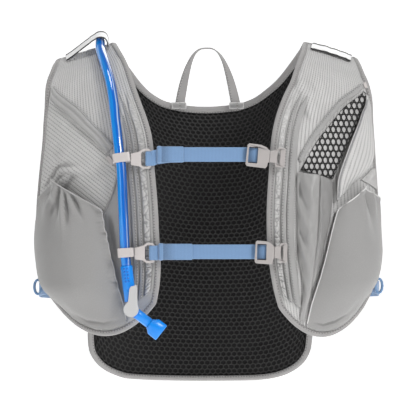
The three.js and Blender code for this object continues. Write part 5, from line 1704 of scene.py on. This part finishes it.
class VEST_OT_stage(bpy.types.Operator):
    """Build the pale floor, the soft lights and the camera"""
    bl_idname = "vest.stage"
    bl_label = "Stage"

    def execute(self, context):
        scene = context.scene
        f = Finish("pale_sweep")
        speckle = f.noise(f.place(), 3.0) * 0.02
        f.close(f.tones(speckle, tone(252, 252, 252), tone(246, 246, 246)), 0.9,
                Emission_Color=(1, 1, 1, 1), Emission_Strength=0.62)
        turn = np.linspace(0, math.pi / 2, 16)
        bend = [(FLOOR_END - FLOOR_BEND + FLOOR_BEND * math.sin(g),
                 FLOOR_Z + FLOOR_BEND - FLOOR_BEND * math.cos(g)) for g in turn]
        profile = [(-14.0, FLOOR_Z), *bend, (FLOOR_END, 9.0)]
        verts = [(x, y, z) for y, z in profile for x in (-FLOOR_HALF, FLOOR_HALF)]
        faces = [(2 * k, 2 * k + 1, 2 * k + 3, 2 * k + 2) for k in range(len(profile) - 1)]
        ob = new_object("floor_sweep", verts, faces)
        ob.data.materials.append(f.mat)
        world = scene.world or bpy.data.worlds.new("World")
        scene.world = world
        world.use_nodes = True
        back = next(n for n in world.node_tree.nodes if n.type == "BACKGROUND")
        back.inputs[0].default_value = (1, 1, 1, 1)
        back.inputs[1].default_value = 0.20
        for light in LIGHTS:
            self.light(scene, *light)
        self.camera(scene)
        scene.view_settings.view_transform = "Standard"
        return {"FINISHED"}

    def light(self, scene, name, at, size, power):
        """A round soft light aimed at the vest's middle."""
        lamp = bpy.data.lights.new(name, "AREA")
        lamp.shape, lamp.size, lamp.energy = "DISK", size, power
        ob = bpy.data.objects.new(name, lamp)
        ob.location = at
        ob.rotation_euler = (Vector((0, 0, AIM_Z)) - Vector(at)).to_track_quat("-Z", "Y").to_euler()
        scene.collection.objects.link(ob)

    def camera(self, scene):
        """A level camera straight in front."""
        cam = bpy.data.cameras.new("camera")
        cam.sensor_width, cam.lens = SENSOR, SENSOR * CAMERA_AWAY / (PICTURE * PIXEL)
        ob = bpy.data.objects.new("camera", cam)
        ob.location = (-PIXEL, CHEST_Y - CAMERA_AWAY, CAMERA_Z)
        ob.rotation_euler = (math.pi / 2, 0, 0)
        scene.collection.objects.link(ob)
        scene.camera = ob


OPERATORS = (
    VEST_OT_panels, VEST_OT_strips, VEST_OT_pouches, VEST_OT_pockets, VEST_OT_back,
    VEST_OT_loop, VEST_OT_tube, VEST_OT_straps, VEST_OT_trims, VEST_OT_stage,
)


class VEST_PT_panel(bpy.types.Panel):
    """The vest's pieces in the sidebar"""
    bl_idname = "VEST_PT_panel"
    bl_label = "Running vest"
    bl_space_type = "VIEW_3D"
    bl_region_type = "UI"
    bl_category = "Vest"

    def draw(self, context):
        for group in (context.scene.vest_colours, context.scene.vest_sizes):
            box = self.layout.box()
            for name in group.__annotations__:
                box.prop(group, name)
        for op in OPERATORS:
            self.layout.operator(op.bl_idname)


CLASSES = (VestColours, VestSizes, *OPERATORS, VEST_PT_panel)


def register():
    for c in CLASSES:
        bpy.utils.register_class(c)
    bpy.types.Scene.vest_colours = bpy.props.PointerProperty(type=VestColours)
    bpy.types.Scene.vest_sizes = bpy.props.PointerProperty(type=VestSizes)


def unregister():
    del bpy.types.Scene.vest_colours, bpy.types.Scene.vest_sizes
    for c in reversed(CLASSES):
        bpy.utils.unregister_class(c)


def main():
    register()
    for op in OPERATORS:
        group, name = op.bl_idname.split(".")
        if getattr(getattr(bpy.ops, group), name)() != {"FINISHED"}:
            raise RuntimeError(f"{op.bl_label} did not finish")


if __name__ == "__main__":
    main()
